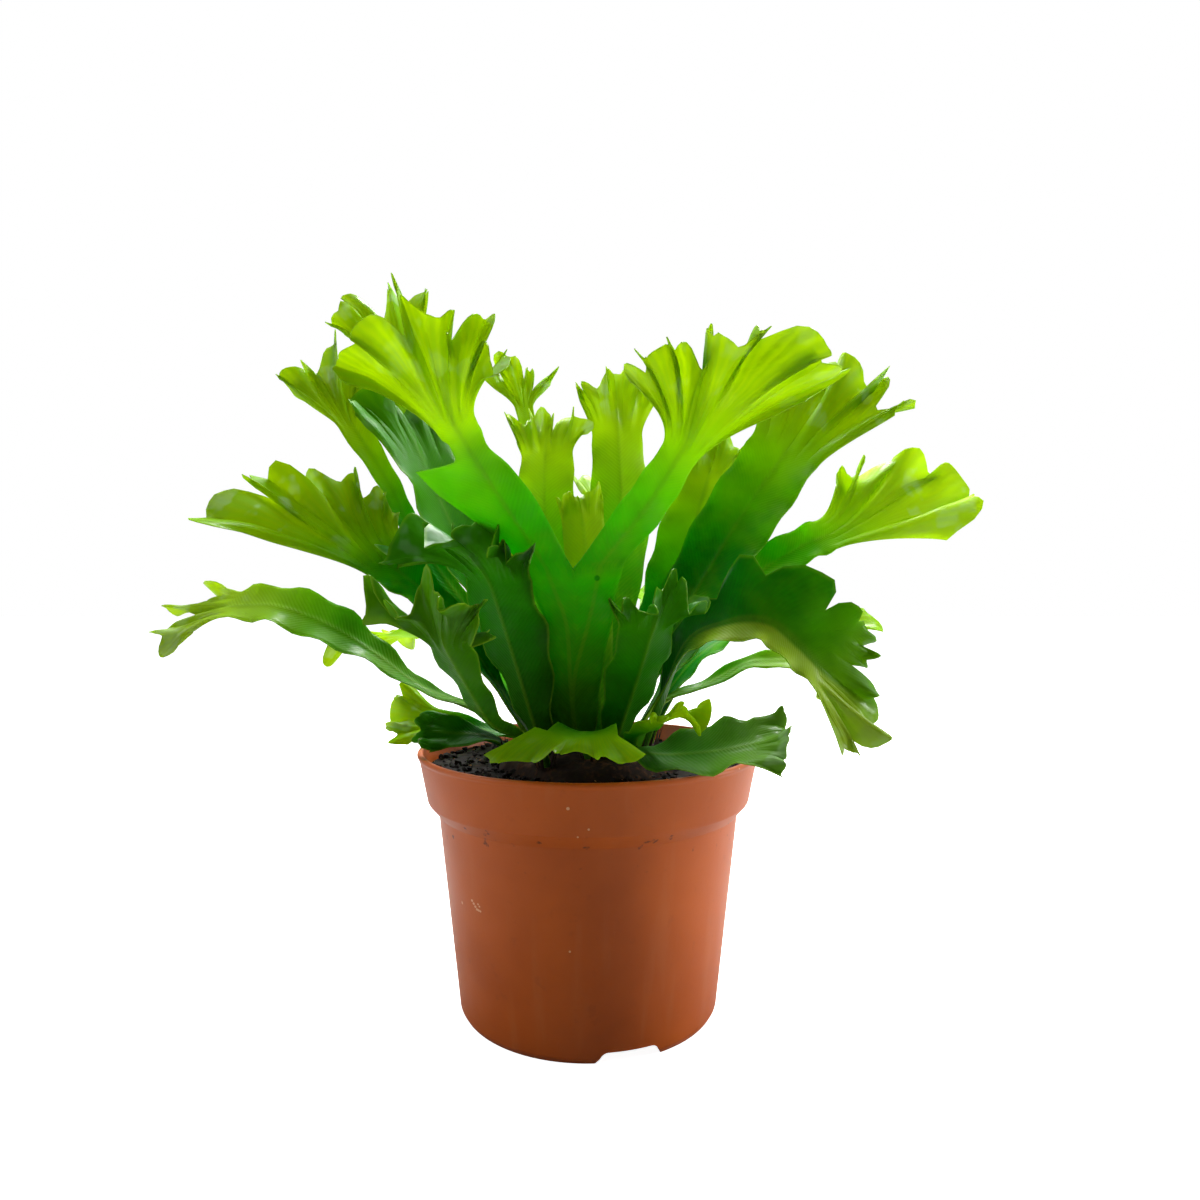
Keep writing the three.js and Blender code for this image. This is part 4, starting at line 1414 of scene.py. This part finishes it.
# Each row of a line is x, y, z and width in millimetres, and roll in degrees.
FRONDS = [
    Frond(
        "frond_front_tall", "middle", 270, -90, 11, Tone.GREEN,
        [(-4, -17, 98, 14, 0), (-5, -26, 116, 19, 0), (-3, -38, 136, 22, 0), (-4, -49, 152, 31, 0)],
        forks=[
            {
                "line": [(17.5, -60, 170, 13, 0), (26, -67, 183, 11, 0)],
                "crest": Crest((45, 47, 41, 34, 30, 29, 23), -37, 88, 0.24, 5, 18),
            },
            {
                "line": [(-23, -60, 170, 17, 0), (-31, -66, 183, 10, 0), (-35, -71, 190, 12, 0)],
                "hem": Hem(1, spur=11.5, lean=11, at=0.5, below=0.5, above=0.2),
                "crest": Crest((20, 27, 31, 38, 35, 31), -82, 34, 0.2, 5, 14),
            },
        ],
    ),
    Frond(
        "frond_centre_curled", "inner", 165, -100, 12, Tone.LIGHT,
        [(-8, 3, 104, 10, 0), (-14, 5, 140, 18, 0), (-16, 9, 172, 21, 0), (-16, 12, 196, 20, 0)],
        Crest((14, 20, 15, 21, 16), -40, 40, 0.45, 5, -30),
    ),
    Frond(
        "frond_centre_right", "inner", 75, -80, 13, Tone.LIGHT,
        [(4, 8, 106, 10, 0), (8, 12, 142, 21, 0), (12, 16, 175, 23, 0), (11, 22, 205, 19, 0)],
        Crest((22, 26, 24, 20), -36, 36, 0.3, 5, 10),
    ),
    Frond(
        "frond_centre_blunt", "inner", 345, -90, 14, Tone.LIGHT,
        [(4, -2, 105, 8, 0), (1, -3, 140, 15, 0), (-2, -1, 170, 15, 0)],
        Crest((11, 9), -10, 10, 0.15, 2, -10),
    ),
    Frond(
        "frond_back_slim", "middle", 114, 110, 15, Tone.GREEN,
        [(-9, 20, 108, 8, 0), (-13, 30, 145, 9, 0), (-22, 48, 194, 8, 0), (-28, 58, 222, 8, 0)],
        Crest((18, 25, 17, 21), -60, 65, 0.5, 4, -20),
    ),
    Frond(
        "frond_left_top", "outer", 139, 160, 16, Tone.GREEN,
        [
            (-22, 17, 104, 9, 10), (-40, 21, 150, 14, 20), (-60, 25, 198, 16, 40),
            (-73, 28, 233, 17, 50),
        ],
        Crest((26, 35, 28, 34), -45, 40, 0.3, 5, 5, ragged=0.7),
    ),
    Frond(
        "frond_left_high", "middle", 152, 175, 17, Tone.GREEN,
        [
            (-16, 7, 102, 7, 10), (-40, 6, 133, 7, 40), (-63, 6, 165, 8, 50),
            (-72.5, 7, 184, 8, 55), (-86.5, 9, 206, 11, 60),
        ],
        Crest((28, 29, 32, 26, 20, 17), -31, 95, 0.28, 4, 12),
    ),
    Frond(
        "frond_left_broad", "outer", 203, 187, 18, Tone.GREEN,
        [
            (-25, -10, 102, 7, 10), (-40, -16, 127, 11, 40), (-55, -20, 145, 14, 55),
            (-66, -20.5, 154, 18, 60),
        ],
        Crest((58, 50, 42, 34, 26, 14), -26, 92, 0.28, 4, 6),
    ),
    Frond(
        "frond_left_arching", "outer", 182, 188, 19, Tone.PALE,
        [
            (-28, -4, 97, 5, 0), (-42, -10, 105.5, 6, 10), (-57, -16, 113, 9, 20),
            (-72, -20, 125, 13, 35), (-86, -22, 134, 17, 50), (-103, -21, 140, 17, 45),
            (-119, -18, 140, 15, 40),
        ],
        Crest((21, 23, 25, 14), -52, 30, 0.4, 4, 25),
    ),
    Frond(
        "frond_left_dark", "outer", 224, 240, 20, Tone.DARK,
        [(-18, -21, 103, 13, 0), (-24, -32, 127, 26, 0), (-29, -43, 147, 25, 0)],
        Crest((14, 18, 22, 24, 28, 33), -60, 110, 0.22, 4, 25),
    ),
    Frond(
        "frond_front_left", "edge", 240, 245, 21, Tone.GREEN,
        [(-20, -30, 97, 8, 0), (-29, -43, 105, 9, 0), (-34, -53, 116, 11, 0), (-39, -62, 128, 15, 0)],
        Crest((14, 19, 25, 24, 20, 26), -100, 42, 0.28, 4, 10),
    ),
    Frond(
        "frond_left_small", "outer", 161, 178, 22, Tone.GREEN,
        [(-25, 6, 92, 6, 0), (-40, 4, 95, 9, 30), (-54, 2, 98, 11, 50)],
        Crest((15, 18, 15), -35, 45, 0.25, 2, 15),
    ),
    Frond(
        "frond_left_rim", "edge", 196, 200, 34, Tone.DARK,
        [(-36, -11, 95, 9, 20), (-47, -15, 97, 13, 50)],
        Crest((9, 11, 9), -20, 30, 0.15, 1.5, 10),
    ),
    Frond(
        "frond_front_low", "outer", 273, -91, 23, Tone.LIGHT,
        [(1, -25, 96, 10, 0), (0, -38, 101, 17, 0), (-3, -54, 102, 25, 0)],
        Crest((15, 10, 11, 18), -55, 60, 0.1, 2.5, 60, ragged=0.3),
    ),
    Frond(
        "frond_front_dark", "outer", 324, -58, 33, Tone.GREEN,
        [(16, -22, 97, 8, 0), (19, -33, 101, 11, 0), (24, -43, 106, 12, 0)],
        Crest((10, 9, 8), -50, 40, 0.2, 2, 20),
    ),
    Frond(
        "frond_right_low", "outer", 300, -38, 24, Tone.DARK,
        [(14, -24, 92, 10, 0), (26, -34, 93, 20, -25), (40, -43, 96, 24, -35), (50, -48, 99, 22, -35)],
        Crest((9, 12, 10), -20, 20, 0.12, 1.5, 5, ragged=0.6),
    ),
    Frond(
        "frond_right_arching", "outer", 348, -10, 25, Tone.DARK,
        [
            (25, -9, 105, 9, 0), (33.5, -16, 128, 14, -40), (45.5, -24, 135, 18, -55),
            (58.5, -28, 135.5, 19, -60), (68, -29, 128, 19, -60), (75, -29, 121, 18, -60),
        ],
        Crest((9, 13, 19, 27, 30, 27), -60, 21, 0.25, 4, 10),
        Hem(-1, start=0.53, lobes=3, cut=0.35, widen=2.2),
        fold=0.4,
    ),
    Frond(
        "frond_right_stalk", "outer", 12, 2, 26, Tone.PALE,
        [(27, 4, 105, 5, 0), (43, 7, 111, 7, -20), (58.5, 6, 119, 8, -30), (71, 4, 120, 10, -40)],
        Crest((20, 22, 20), -30, 30, 0.35, 3, 60),
    ),
    Frond(
        "frond_right_light", "outer", 37, 0, 27, Tone.LIGHT,
        [
            (25, 14, 104, 9, 0), (39, 15, 128, 21, -30), (57, 14, 147, 19, -50),
            (76, 13, 160, 15, -60), (88, 13, 165.5, 15, -60),
        ],
        Crest((20, 31, 38, 48, 55, 54), -80, 18, 0.22, 4, 10),
    ),
    Frond(
        "frond_right_high", "middle", 5, 12, 28, Tone.GREEN,
        [(18, 3, 106, 10, 0), (34, 6, 136, 22, -40), (54, 11, 169, 28, -55), (73, 16, 196, 28, -55)],
        Crest((32, 40, 43, 45, 50, 44), -52, 36, 0.24, 5, 12),
    ),
    Frond(
        "frond_right_twisted", "middle", 42, 35, 29, Tone.GREEN,
        [(16, 13, 106, 9, 0), (30, 21, 140, 22, -20), (40, 29, 168, 25, -35), (47, 36, 190, 20, -40)],
        Crest((18, 22, 20, 18), -35, 35, 0.35, 4, 20),
    ),
    Frond(
        "frond_front_small", "middle", 308, -62, 30, Tone.DARK,
        [(11, -17, 100, 13, 0), (16, -28, 117, 21, 0), (20, -38, 132, 20, 0)],
        Crest((14, 17, 16, 13), -50, 50, 0.3, 4, 15),
    ),
    Frond(
        "frond_left_upright", "middle", 192, 200, 31, Tone.DARK,
        [
            (-18, -5, 104, 12, 20), (-31, -8, 132, 22, 40), (-45, -8, 162, 28, 50),
            (-58, -5, 190, 30, 50),
        ],
        Crest((24, 30, 26, 30, 26), -30, 40, 0.25, 4, 15, ragged=0.6),
    ),
    Frond(
        "frond_left_edge", "inner", 255, 215, 32, Tone.LIGHT,
        [(-8, -7, 106, 8, 0), (-19, -7, 128, 10, -40), (-27, -7, 152, 8, -60)],
        Crest((14, 12), -20, 20, 0.2, 1, 10),
    ),
    arched("outer", 62, 41, Tone.GREEN, 62, 22, 76, 28),
    arched("outer", 88, 42, Tone.DARK, 56, 2, 60, 26),
    arched("outer", 113, 43, Tone.GREEN, 62, 18, 64, 28),
    arched("edge", 35, 45, Tone.GREEN, 56, 12, 80, 28),
    arched("edge", 141, 48, Tone.LIGHT, 56, 0, 84, 26),
    arched("middle", 78, 44, Tone.LIGHT, 74, 54, 100, 28),
]


def turned(profile: list[tuple[float, float]], steps: int) -> bmesh.types.BMesh:
    """Turns a profile of radius and height round the upright axis.

    Args:
        profile: Its corners in order, in millimetres. The first and last lie on the axis.
        steps: How many faces lie round the axis.

    Returns:
        The turned mesh, with its faces outward.
    """
    mesh = bmesh.new()
    corners = [mesh.verts.new((radius, 0, height)) for radius, height in profile]
    edges = [mesh.edges.new(pair) for pair in zip(corners, corners[1:])]
    bmesh.ops.spin(
        mesh,
        geom=corners + edges,
        cent=(0, 0, 0),
        axis=(0, 0, 1),
        dvec=(0, 0, 0),
        angle=WHOLE_TURN,
        steps=steps,
        use_merge=True,
    )
    bmesh.ops.remove_doubles(mesh, verts=mesh.verts, dist=SEAM)
    bmesh.ops.recalc_face_normals(mesh, faces=mesh.faces)
    return mesh


@dataclass
class Pot:
    """The nursery pot: tapered body, rim band with a bead, notched foot ring and a drained floor."""

    rim_radius: float = 60
    rim_height: float = 90
    bead: float = 0.8
    bead_height: float = 2
    band_foot_radius: float = 56.3
    band_foot_height: float = 73.3
    body_top_radius: float = 52.5
    body_top_height: float = 69
    foot_radius: float = 45
    heel: float = 2
    wall: float = 1.2
    floor_underside: float = 4.2
    floor_thickness: float = 1.4
    notches: int = 3
    first_notch: float = -72.5
    notch_width: float = 22
    notch_top_width: float = 17
    notch_height: float = 4
    drains: int = 6
    drain_radius: float = 3.5
    drain_ring: float = 26
    rounding: float = 0.45
    steps: int = 192
    notch_rounding: float = 1.4
    drain_middle: float = 5
    drain_depth: float = 6
    sharp_angle: float = 0.35

    def slope(self) -> float:
        """Gives how fast the body widens with height."""
        return (self.body_top_radius - self.foot_radius) / self.body_top_height

    def profile(self) -> list[tuple[float, float]]:
        """Gives the profile of the wall and floor, from axis to axis.

        Returns:
            Corners of radius and height.
        """
        floor_top = self.floor_underside + self.floor_thickness
        inside = self.foot_radius - self.wall
        return [
            (0, self.floor_underside),
            (inside + self.slope() * self.floor_underside, self.floor_underside),
            (inside - self.heel / 2, 0),
            (self.foot_radius - self.heel / 2, 0),
            (self.foot_radius + self.slope() * self.heel, self.heel),
            (self.body_top_radius, self.body_top_height),
            (self.band_foot_radius, self.band_foot_height),
            (self.rim_radius - self.bead, self.rim_height - self.bead_height),
            (self.rim_radius, self.rim_height - self.bead_height / 2),
            (self.rim_radius - self.bead / 2, self.rim_height),
            (self.rim_radius - self.bead - self.wall, self.rim_height),
            (self.band_foot_radius - self.wall, self.band_foot_height + 0.5),
            (self.body_top_radius - self.wall, self.body_top_height + 0.5),
            (inside + self.slope() * floor_top, floor_top),
            (0, floor_top),
        ]

    def cutters(self) -> bmesh.types.BMesh:
        """Makes the blocks and pegs that cut the notches and the drain holes.

        Returns:
            One mesh with all of them, in millimetres.
        """
        tools = bmesh.new()
        for i in range(self.notches):
            turn = math.radians(self.first_notch + i * 360 / self.notches)
            made = bmesh.ops.create_cube(tools, size=1)["verts"]
            for vert in made:
                top = vert.co.z > 0
                width = self.notch_top_width if top else self.notch_width + 1
                vert.co.y *= width
                vert.co.z = self.notch_height if top else -1
                vert.co.x = self.foot_radius * (1 + vert.co.x * 0.5)
            tops = [e for v in made for e in v.link_edges if all(c.co.z > 0 for c in e.verts)]
            long = {e for e in tops if abs(e.verts[0].co.x - e.verts[1].co.x) > 1}
            made = bmesh.ops.bevel(
                tools,
                geom=list(long),
                offset=self.notch_rounding,
                segments=4,
                affect="EDGES",
                profile=0.5,
                material=-1,
            )["verts"] + [v for v in made if v.is_valid]
            bmesh.ops.rotate(
                tools, verts=list(set(made)), cent=(0, 0, 0), matrix=Matrix.Rotation(turn, 3, "Z")
            )
        for i in range(self.drains):
            turn = math.radians(self.first_notch + i * 360 / self.drains)
            spot = (self.drain_ring * math.cos(turn), self.drain_ring * math.sin(turn))
            bmesh.ops.create_cone(
                tools,
                cap_ends=True,
                segments=24,
                radius1=self.drain_radius,
                radius2=self.drain_radius,
                depth=self.drain_depth,
                matrix=Matrix.Translation((*spot, self.drain_middle)),
            )
        return tools

    def build(self, finish: PotFinish) -> bpy.types.Object:
        """Builds the pot.

        Args:
            finish: Its plastic.

        Returns:
            The piece.
        """
        mesh = turned(self.profile(), self.steps)
        shared = [edge for edge in mesh.edges if len(edge.link_faces) == 2]
        sharp = [edge for edge in shared if edge.calc_face_angle(0) > self.sharp_angle]
        bmesh.ops.bevel(
            mesh,
            geom=sharp,
            offset=self.rounding,
            segments=3,
            affect="EDGES",
            profile=0.5,
            material=-1,
            clamp_overlap=True,
        )
        piece = make_piece("pot", mesh, [finish.material()], "pot")
        tools = self.cutters()
        bmesh.ops.scale(tools, vec=(MM, MM, MM), verts=tools.verts)
        data = bpy.data.meshes.new("cutters")
        tools.to_mesh(data)
        tools.free()
        cutter = bpy.data.objects.new("cutters", data)
        bpy.context.scene.collection.objects.link(cutter)
        cut = piece.modifiers.new("notches", "BOOLEAN")
        cut.operation = "DIFFERENCE"
        cut.object = cutter
        settle(piece)
        bpy.data.objects.remove(cutter)
        return piece


@dataclass
class Soil:
    """The compost: a lumpy fill with crumbs and pale flecks strewn over it."""

    gap: float = 0.6
    edge_height: float = 83.5
    crown_radius: float = 32.0
    crown_bottom: float = 74.0
    crumbs: int = 900
    flecks: int = 70
    lump: float = 0.9
    dome: float = 0.6
    strewn_radius: float = 55.5
    crumb_sizes: tuple[float, float] = (0.5, 1.7)
    fleck_sizes: tuple[float, float] = (0.3, 0.8)
    crumb_seed: int = 60
    fleck_seed: int = 61
    rings: int = 14
    steps: int = 160

    def profile(self, pot: Pot) -> list[tuple[float, float]]:
        """Gives the profile of the fill, from axis to axis, with rings over its top.

        Args:
            pot: The pot that it fills.

        Returns:
            Corners of radius and height.
        """
        floor_top = pot.floor_underside + pot.floor_thickness
        reach = pot.wall + self.gap
        rise = pot.rim_height - pot.bead_height - pot.band_foot_height
        slope = (pot.rim_radius - pot.bead - pot.band_foot_radius) / rise
        edge = pot.band_foot_radius - reach + slope * (self.edge_height - pot.band_foot_height)
        inner = self.crown_radius + self.gap
        top = [
            (
                edge + (inner - edge) * i / self.rings,
                self.edge_height + self.dome * math.sin(math.pi * i / self.rings),
            )
            for i in range(self.rings + 1)
        ]
        return [
            (0, floor_top + self.gap),
            (pot.foot_radius + pot.slope() * floor_top - reach, floor_top + self.gap),
            (pot.body_top_radius - reach, pot.body_top_height + 1),
            (pot.band_foot_radius - reach - 0.3, pot.band_foot_height + 1),
            *top,
            (inner, self.crown_bottom - self.gap),
            (0, self.crown_bottom - self.gap),
        ]

    def height_at(self, x: float, y: float) -> float:
        """Gives the lumps of the surface at a place.

        Args:
            x: How far right of the pot's axis it is, in millimetres.
            y: How far behind that axis it is, in millimetres.

        Returns:
            How far the surface rises there, in millimetres.
        """
        coarse = noise.noise(Vector((x / 9, y / 9, 3.1)))
        fine = noise.noise(Vector((x / 2.6, y / 2.6, 8.4)))
        return self.lump * (coarse + 0.6 * fine)

    def build(self, pot: Pot, finish: EarthFinish, fleck: EarthFinish) -> None:
        """Builds the fill, its crumbs and its flecks.

        Args:
            pot: The pot that it fills.
            finish: The dark compost.
            fleck: The pale fibres in it.
        """
        mesh = turned(self.profile(pot), self.steps)
        edge = pot.band_foot_radius
        for vert in mesh.verts:
            radius = math.hypot(vert.co.x, vert.co.y)
            if vert.co.z > self.edge_height - 0.3 and self.crown_radius + 1 < radius < edge - 0.5:
                vert.co.z += self.height_at(vert.co.x, vert.co.y)
        make_piece("soil", mesh, [finish.material()], "soil")
        crumbs = self.strewn(self.crumbs, self.crumb_seed, self.crumb_sizes)
        make_piece("soil_crumbs", crumbs, [finish.material()])
        flecks = self.strewn(self.flecks, self.fleck_seed, self.fleck_sizes)
        make_piece("soil_flecks", flecks, [fleck.material()])

    def strewn(self, count: int, seed: int, sizes: tuple[float, float]) -> bmesh.types.BMesh:
        """Strews small lumps over the soil.

        Args:
            count: How many.
            seed: The seed of their draws.
            sizes: The least and greatest radius, in millimetres.

        Returns:
            One mesh with all of them.
        """
        mesh = bmesh.new()
        for i in range(count):
            spin = WHOLE_TURN * draw(seed, 5 * i)
            inner, outer = self.crown_radius - 2, self.strewn_radius
            radius = math.sqrt(inner**2 + (outer**2 - inner**2) * draw(seed, 5 * i + 1))
            size = sizes[0] + (sizes[1] - sizes[0]) * draw(seed, 5 * i + 2) ** 3
            x, y = radius * math.cos(spin), radius * math.sin(spin)
            height = self.edge_height + 0.5 + self.height_at(x, y) + size * 0.3
            flat = 0.55 + 0.4 * draw(seed, 5 * i + 3)
            matrix = (
                Matrix.Translation((x, y, height))
                @ Matrix.Rotation(WHOLE_TURN * draw(seed, 5 * i + 4), 4, "Z")
                @ Matrix.Rotation(draw(seed, 5 * i + 6), 4, "X")
                @ Matrix.Diagonal((size, size * flat, size * (1.3 - flat), 1))
            )
            made = bmesh.ops.create_icosphere(mesh, subdivisions=1, radius=1, matrix=matrix)
            for corner, vert in enumerate(made["verts"]):
                pull = (draw(seed + 0.5, 13 * i + corner) - 0.5) * 0.5 * size
                vert.co += (vert.co - Vector((x, y, height))).normalized() * pull
        return mesh


@dataclass
class Crown:
    """The rootstock: a low dome with brown scales round the foot of each stalk."""

    radius: float = 32
    top: float = 91
    shoulder: float = 85.5
    bottom: float = 74
    scales_each: int = 9
    scale_length: float = 9
    scale_width: float = 0.8
    scale_ring: float = 2.6
    lump: float = 0.7
    lump_size: float = 2.2
    rings: int = 16
    steps: int = 120

    def profile(self) -> list[tuple[float, float]]:
        """Gives the profile of the dome, from axis to axis.

        Returns:
            Corners of radius and height.
        """
        dome = [
            (
                (self.radius - 2) * math.sin(math.pi / 2 * (1 - i / self.rings)),
                self.shoulder + (self.top - self.shoulder) * (1 - (1 - i / self.rings) ** 2),
            )
            for i in range(self.rings)
        ]
        return [
            (0, self.bottom),
            (self.radius - 3, self.bottom),
            (self.radius - 0.3, self.bottom + 5),
            (self.radius - 0.3, self.shoulder - 2),
            *dome,
            (0, self.top),
        ]

    def build(self, fronds: list[Frond], finish: EarthFinish) -> None:
        """Builds the dome and its scales.

        Args:
            fronds: The fronds that stand in it.
            finish: The brown fibre.
        """
        mesh = turned(self.profile(), self.steps)
        for vert in mesh.verts:
            if vert.co.z > self.shoulder - 0.5:
                spot = Vector((vert.co.x / self.lump_size, vert.co.y / self.lump_size, 1.7))
                vert.co.z += self.lump * noise.noise(spot)
        make_piece("crown", mesh, [finish.material()], "crown")
        make_piece("crown_scales", self.scales(fronds), [finish.material()])

    def scales(self, fronds: list[Frond]) -> bmesh.types.BMesh:
        """Sets narrow pointed scales round each stalk.

        Args:
            fronds: The fronds whose stalks they stand round.

        Returns:
            One mesh with all of them.
        """
        mesh = bmesh.new()
        for frond in fronds:
            azimuth = math.radians(frond.azimuth)
            ring = RINGS[frond.ring]
            for i in range(self.scales_each):
                seed = frond.seed + 0.25
                spin = WHOLE_TURN * (i + draw(seed, i)) / self.scales_each
                lean = 0.15 + 0.5 * draw(seed, i + 20)
                size = self.scale_length * (0.6 + 0.6 * draw(seed, i + 40))
                x = ring * math.cos(azimuth) + self.scale_ring * math.cos(spin)
                y = ring * math.sin(azimuth) + self.scale_ring * math.sin(spin)
                matrix = (
                    Matrix.Translation((x, y, self.shoulder + 1.5))
                    @ Matrix.Rotation(spin, 4, "Z")
                    @ Matrix.Rotation(lean, 4, "Y")
                    @ Matrix.Diagonal((0.3, 1, 1, 1))
                    @ Matrix.Translation((0, 0, size / 2))
                )
                bmesh.ops.create_cone(
                    mesh,
                    cap_ends=True,
                    segments=5,
                    radius1=self.scale_width,
                    radius2=0.05,
                    depth=size,
                    matrix=matrix,
                )
        return mesh


@dataclass
class Studio:
    """The white studio: camera, floor, white surroundings and soft lights."""

    focal: float = 862
    picture: float = 1200
    sensor: float = 36
    camera_place: tuple[float, float, float] = (4.1, -307, 146.4)
    tilt: float = -0.8
    floor_reach: float = 4000
    floor_colour: Colour = (0.8, 0.8, 0.8, 1.0)
    floor_bounce: Colour = (0.45, 0.45, 0.45, 1.0)
    floor_glow: float = 0.95
    dim: Colour = (0.07, 0.07, 0.07, 1.0)
    bright: Colour = (0.7, 0.7, 0.7, 1.0)
    clip_start: float = 0.01
    aim: tuple[float, float, float] = (0, 0, 150)

    def build(self) -> None:
        """Builds the camera, the floor, the surroundings and the lights."""
        self.camera()
        self.floor()
        self.world()
        self.light("back_top", (80, 420, 820), (600, 500), 20)
        self.light("left_side", (-700, -160, 420), (300, 600), 2.4)
        self.light("right_side", (700, 60, 300), (250, 600), 5.6)
        view = bpy.context.scene.view_settings
        view.view_transform = "Standard"
        view.look = "None"

    def camera(self) -> None:
        """Sets the camera where the photographer stood."""
        data = bpy.data.cameras.new("camera")
        data.sensor_width = self.sensor
        data.lens = self.focal / self.picture * self.sensor
        data.clip_start = self.clip_start
        camera = bpy.data.objects.new("camera", data)
        camera.location = [value * MM for value in self.camera_place]
        camera.rotation_euler = (math.radians(90 + self.tilt), 0, 0)
        bpy.context.scene.collection.objects.link(camera)
        bpy.context.scene.camera = camera

    def floor(self) -> None:
        """Lays the pale floor."""
        mesh = bmesh.new()
        bmesh.ops.create_grid(mesh, x_segments=2, y_segments=2, size=self.floor_reach * MM)
        data = bpy.data.meshes.new("floor")
        mesh.to_mesh(data)
        mesh.free()
        floor = bpy.data.objects.new("floor", data)
        bpy.context.scene.collection.objects.link(floor)
        shader = Shader.material("floor")
        shown = shader.node(
            "ShaderNodeBsdfPrincipled",
            None,
            {
                "Base Color": self.floor_colour,
                "Roughness": 0.8,
                "Specular IOR Level": 0.2,
                "Emission Color": WHITE,
                "Emission Strength": self.floor_glow,
            },
        )
        bounce = shader.node("ShaderNodeBsdfDiffuse", None, {"Color": self.floor_bounce})
        data.materials.append(shader.finish(shader.blend(shader.seen(), bounce, shown)))
        floor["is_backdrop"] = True

    def world(self) -> None:
        """Gives surroundings that look white and light the plant from behind and the sides."""
        world = bpy.data.worlds.new("surroundings")
        shader = Shader(world)
        _, away, _ = shader.parts(shader.node("ShaderNodeTexCoord").outputs["Generated"])
        colour = shader.mix(away.ramp(-0.7, 0.7), self.dim, self.bright)
        lighting = shader.node("ShaderNodeBackground", None, {"Color": colour})
        shown = shader.node("ShaderNodeBackground", None, {"Color": WHITE})
        mixed = shader.blend(shader.seen(), lighting, shown)
        shader.node("ShaderNodeOutputWorld", None, {"Surface": mixed.outputs[0]})
        bpy.context.scene.world = world

    def light(
        self,
        name: str,
        place: tuple[float, float, float],
        size: tuple[float, float],
        power: float,
    ) -> None:
        """Hangs a soft box that faces the plant.

        Args:
            name: The light's name.
            place: Where it hangs, in millimetres.
            size: Its two sides, in millimetres.
            power: Its power in watts.
        """
        data = bpy.data.lights.new(name, "AREA")
        data.shape = "RECTANGLE"
        data.size, data.size_y = size[0] * MM, size[1] * MM
        data.energy = power
        lamp = bpy.data.objects.new(name, data)
        lamp.location = [value * MM for value in place]
        aim = Vector(self.aim) * MM - lamp.location
        lamp.rotation_euler = aim.to_track_quat("-Z", "Y").to_euler()
        bpy.context.scene.collection.objects.link(lamp)


def corners() -> list[list[float]]:
    """Gives the lowest and highest corner of what shows, as plain numbers."""
    return [list(corner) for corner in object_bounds()]


def main() -> None:
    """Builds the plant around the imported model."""
    logging.basicConfig(level=logging.INFO, format="%(name)s %(message)s")
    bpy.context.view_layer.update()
    Studio().build()
    compost = EarthFinish("soil", paint(16, 13, 10), paint(58, 42, 30))
    fibre = EarthFinish("flecks", paint(120, 88, 52), paint(190, 160, 110))
    scaly = EarthFinish("crown", paint(34, 22, 12), paint(92, 60, 32), 2.2)
    pot = Pot()
    pot.build(PotFinish())
    Soil().build(pot, compost, fibre)
    Crown().build(FRONDS, scaly)
    skins = {
        key: [finish.material(side) for side in (Side.UPPER, Side.LOWER)]
        for key, finish in {**LEAVES, **LOOKS}.items()
    }
    for frond in FRONDS:
        frond.build(skins.get(frond.name, skins[frond.tone]))


if __name__ == "__main__":
    main()
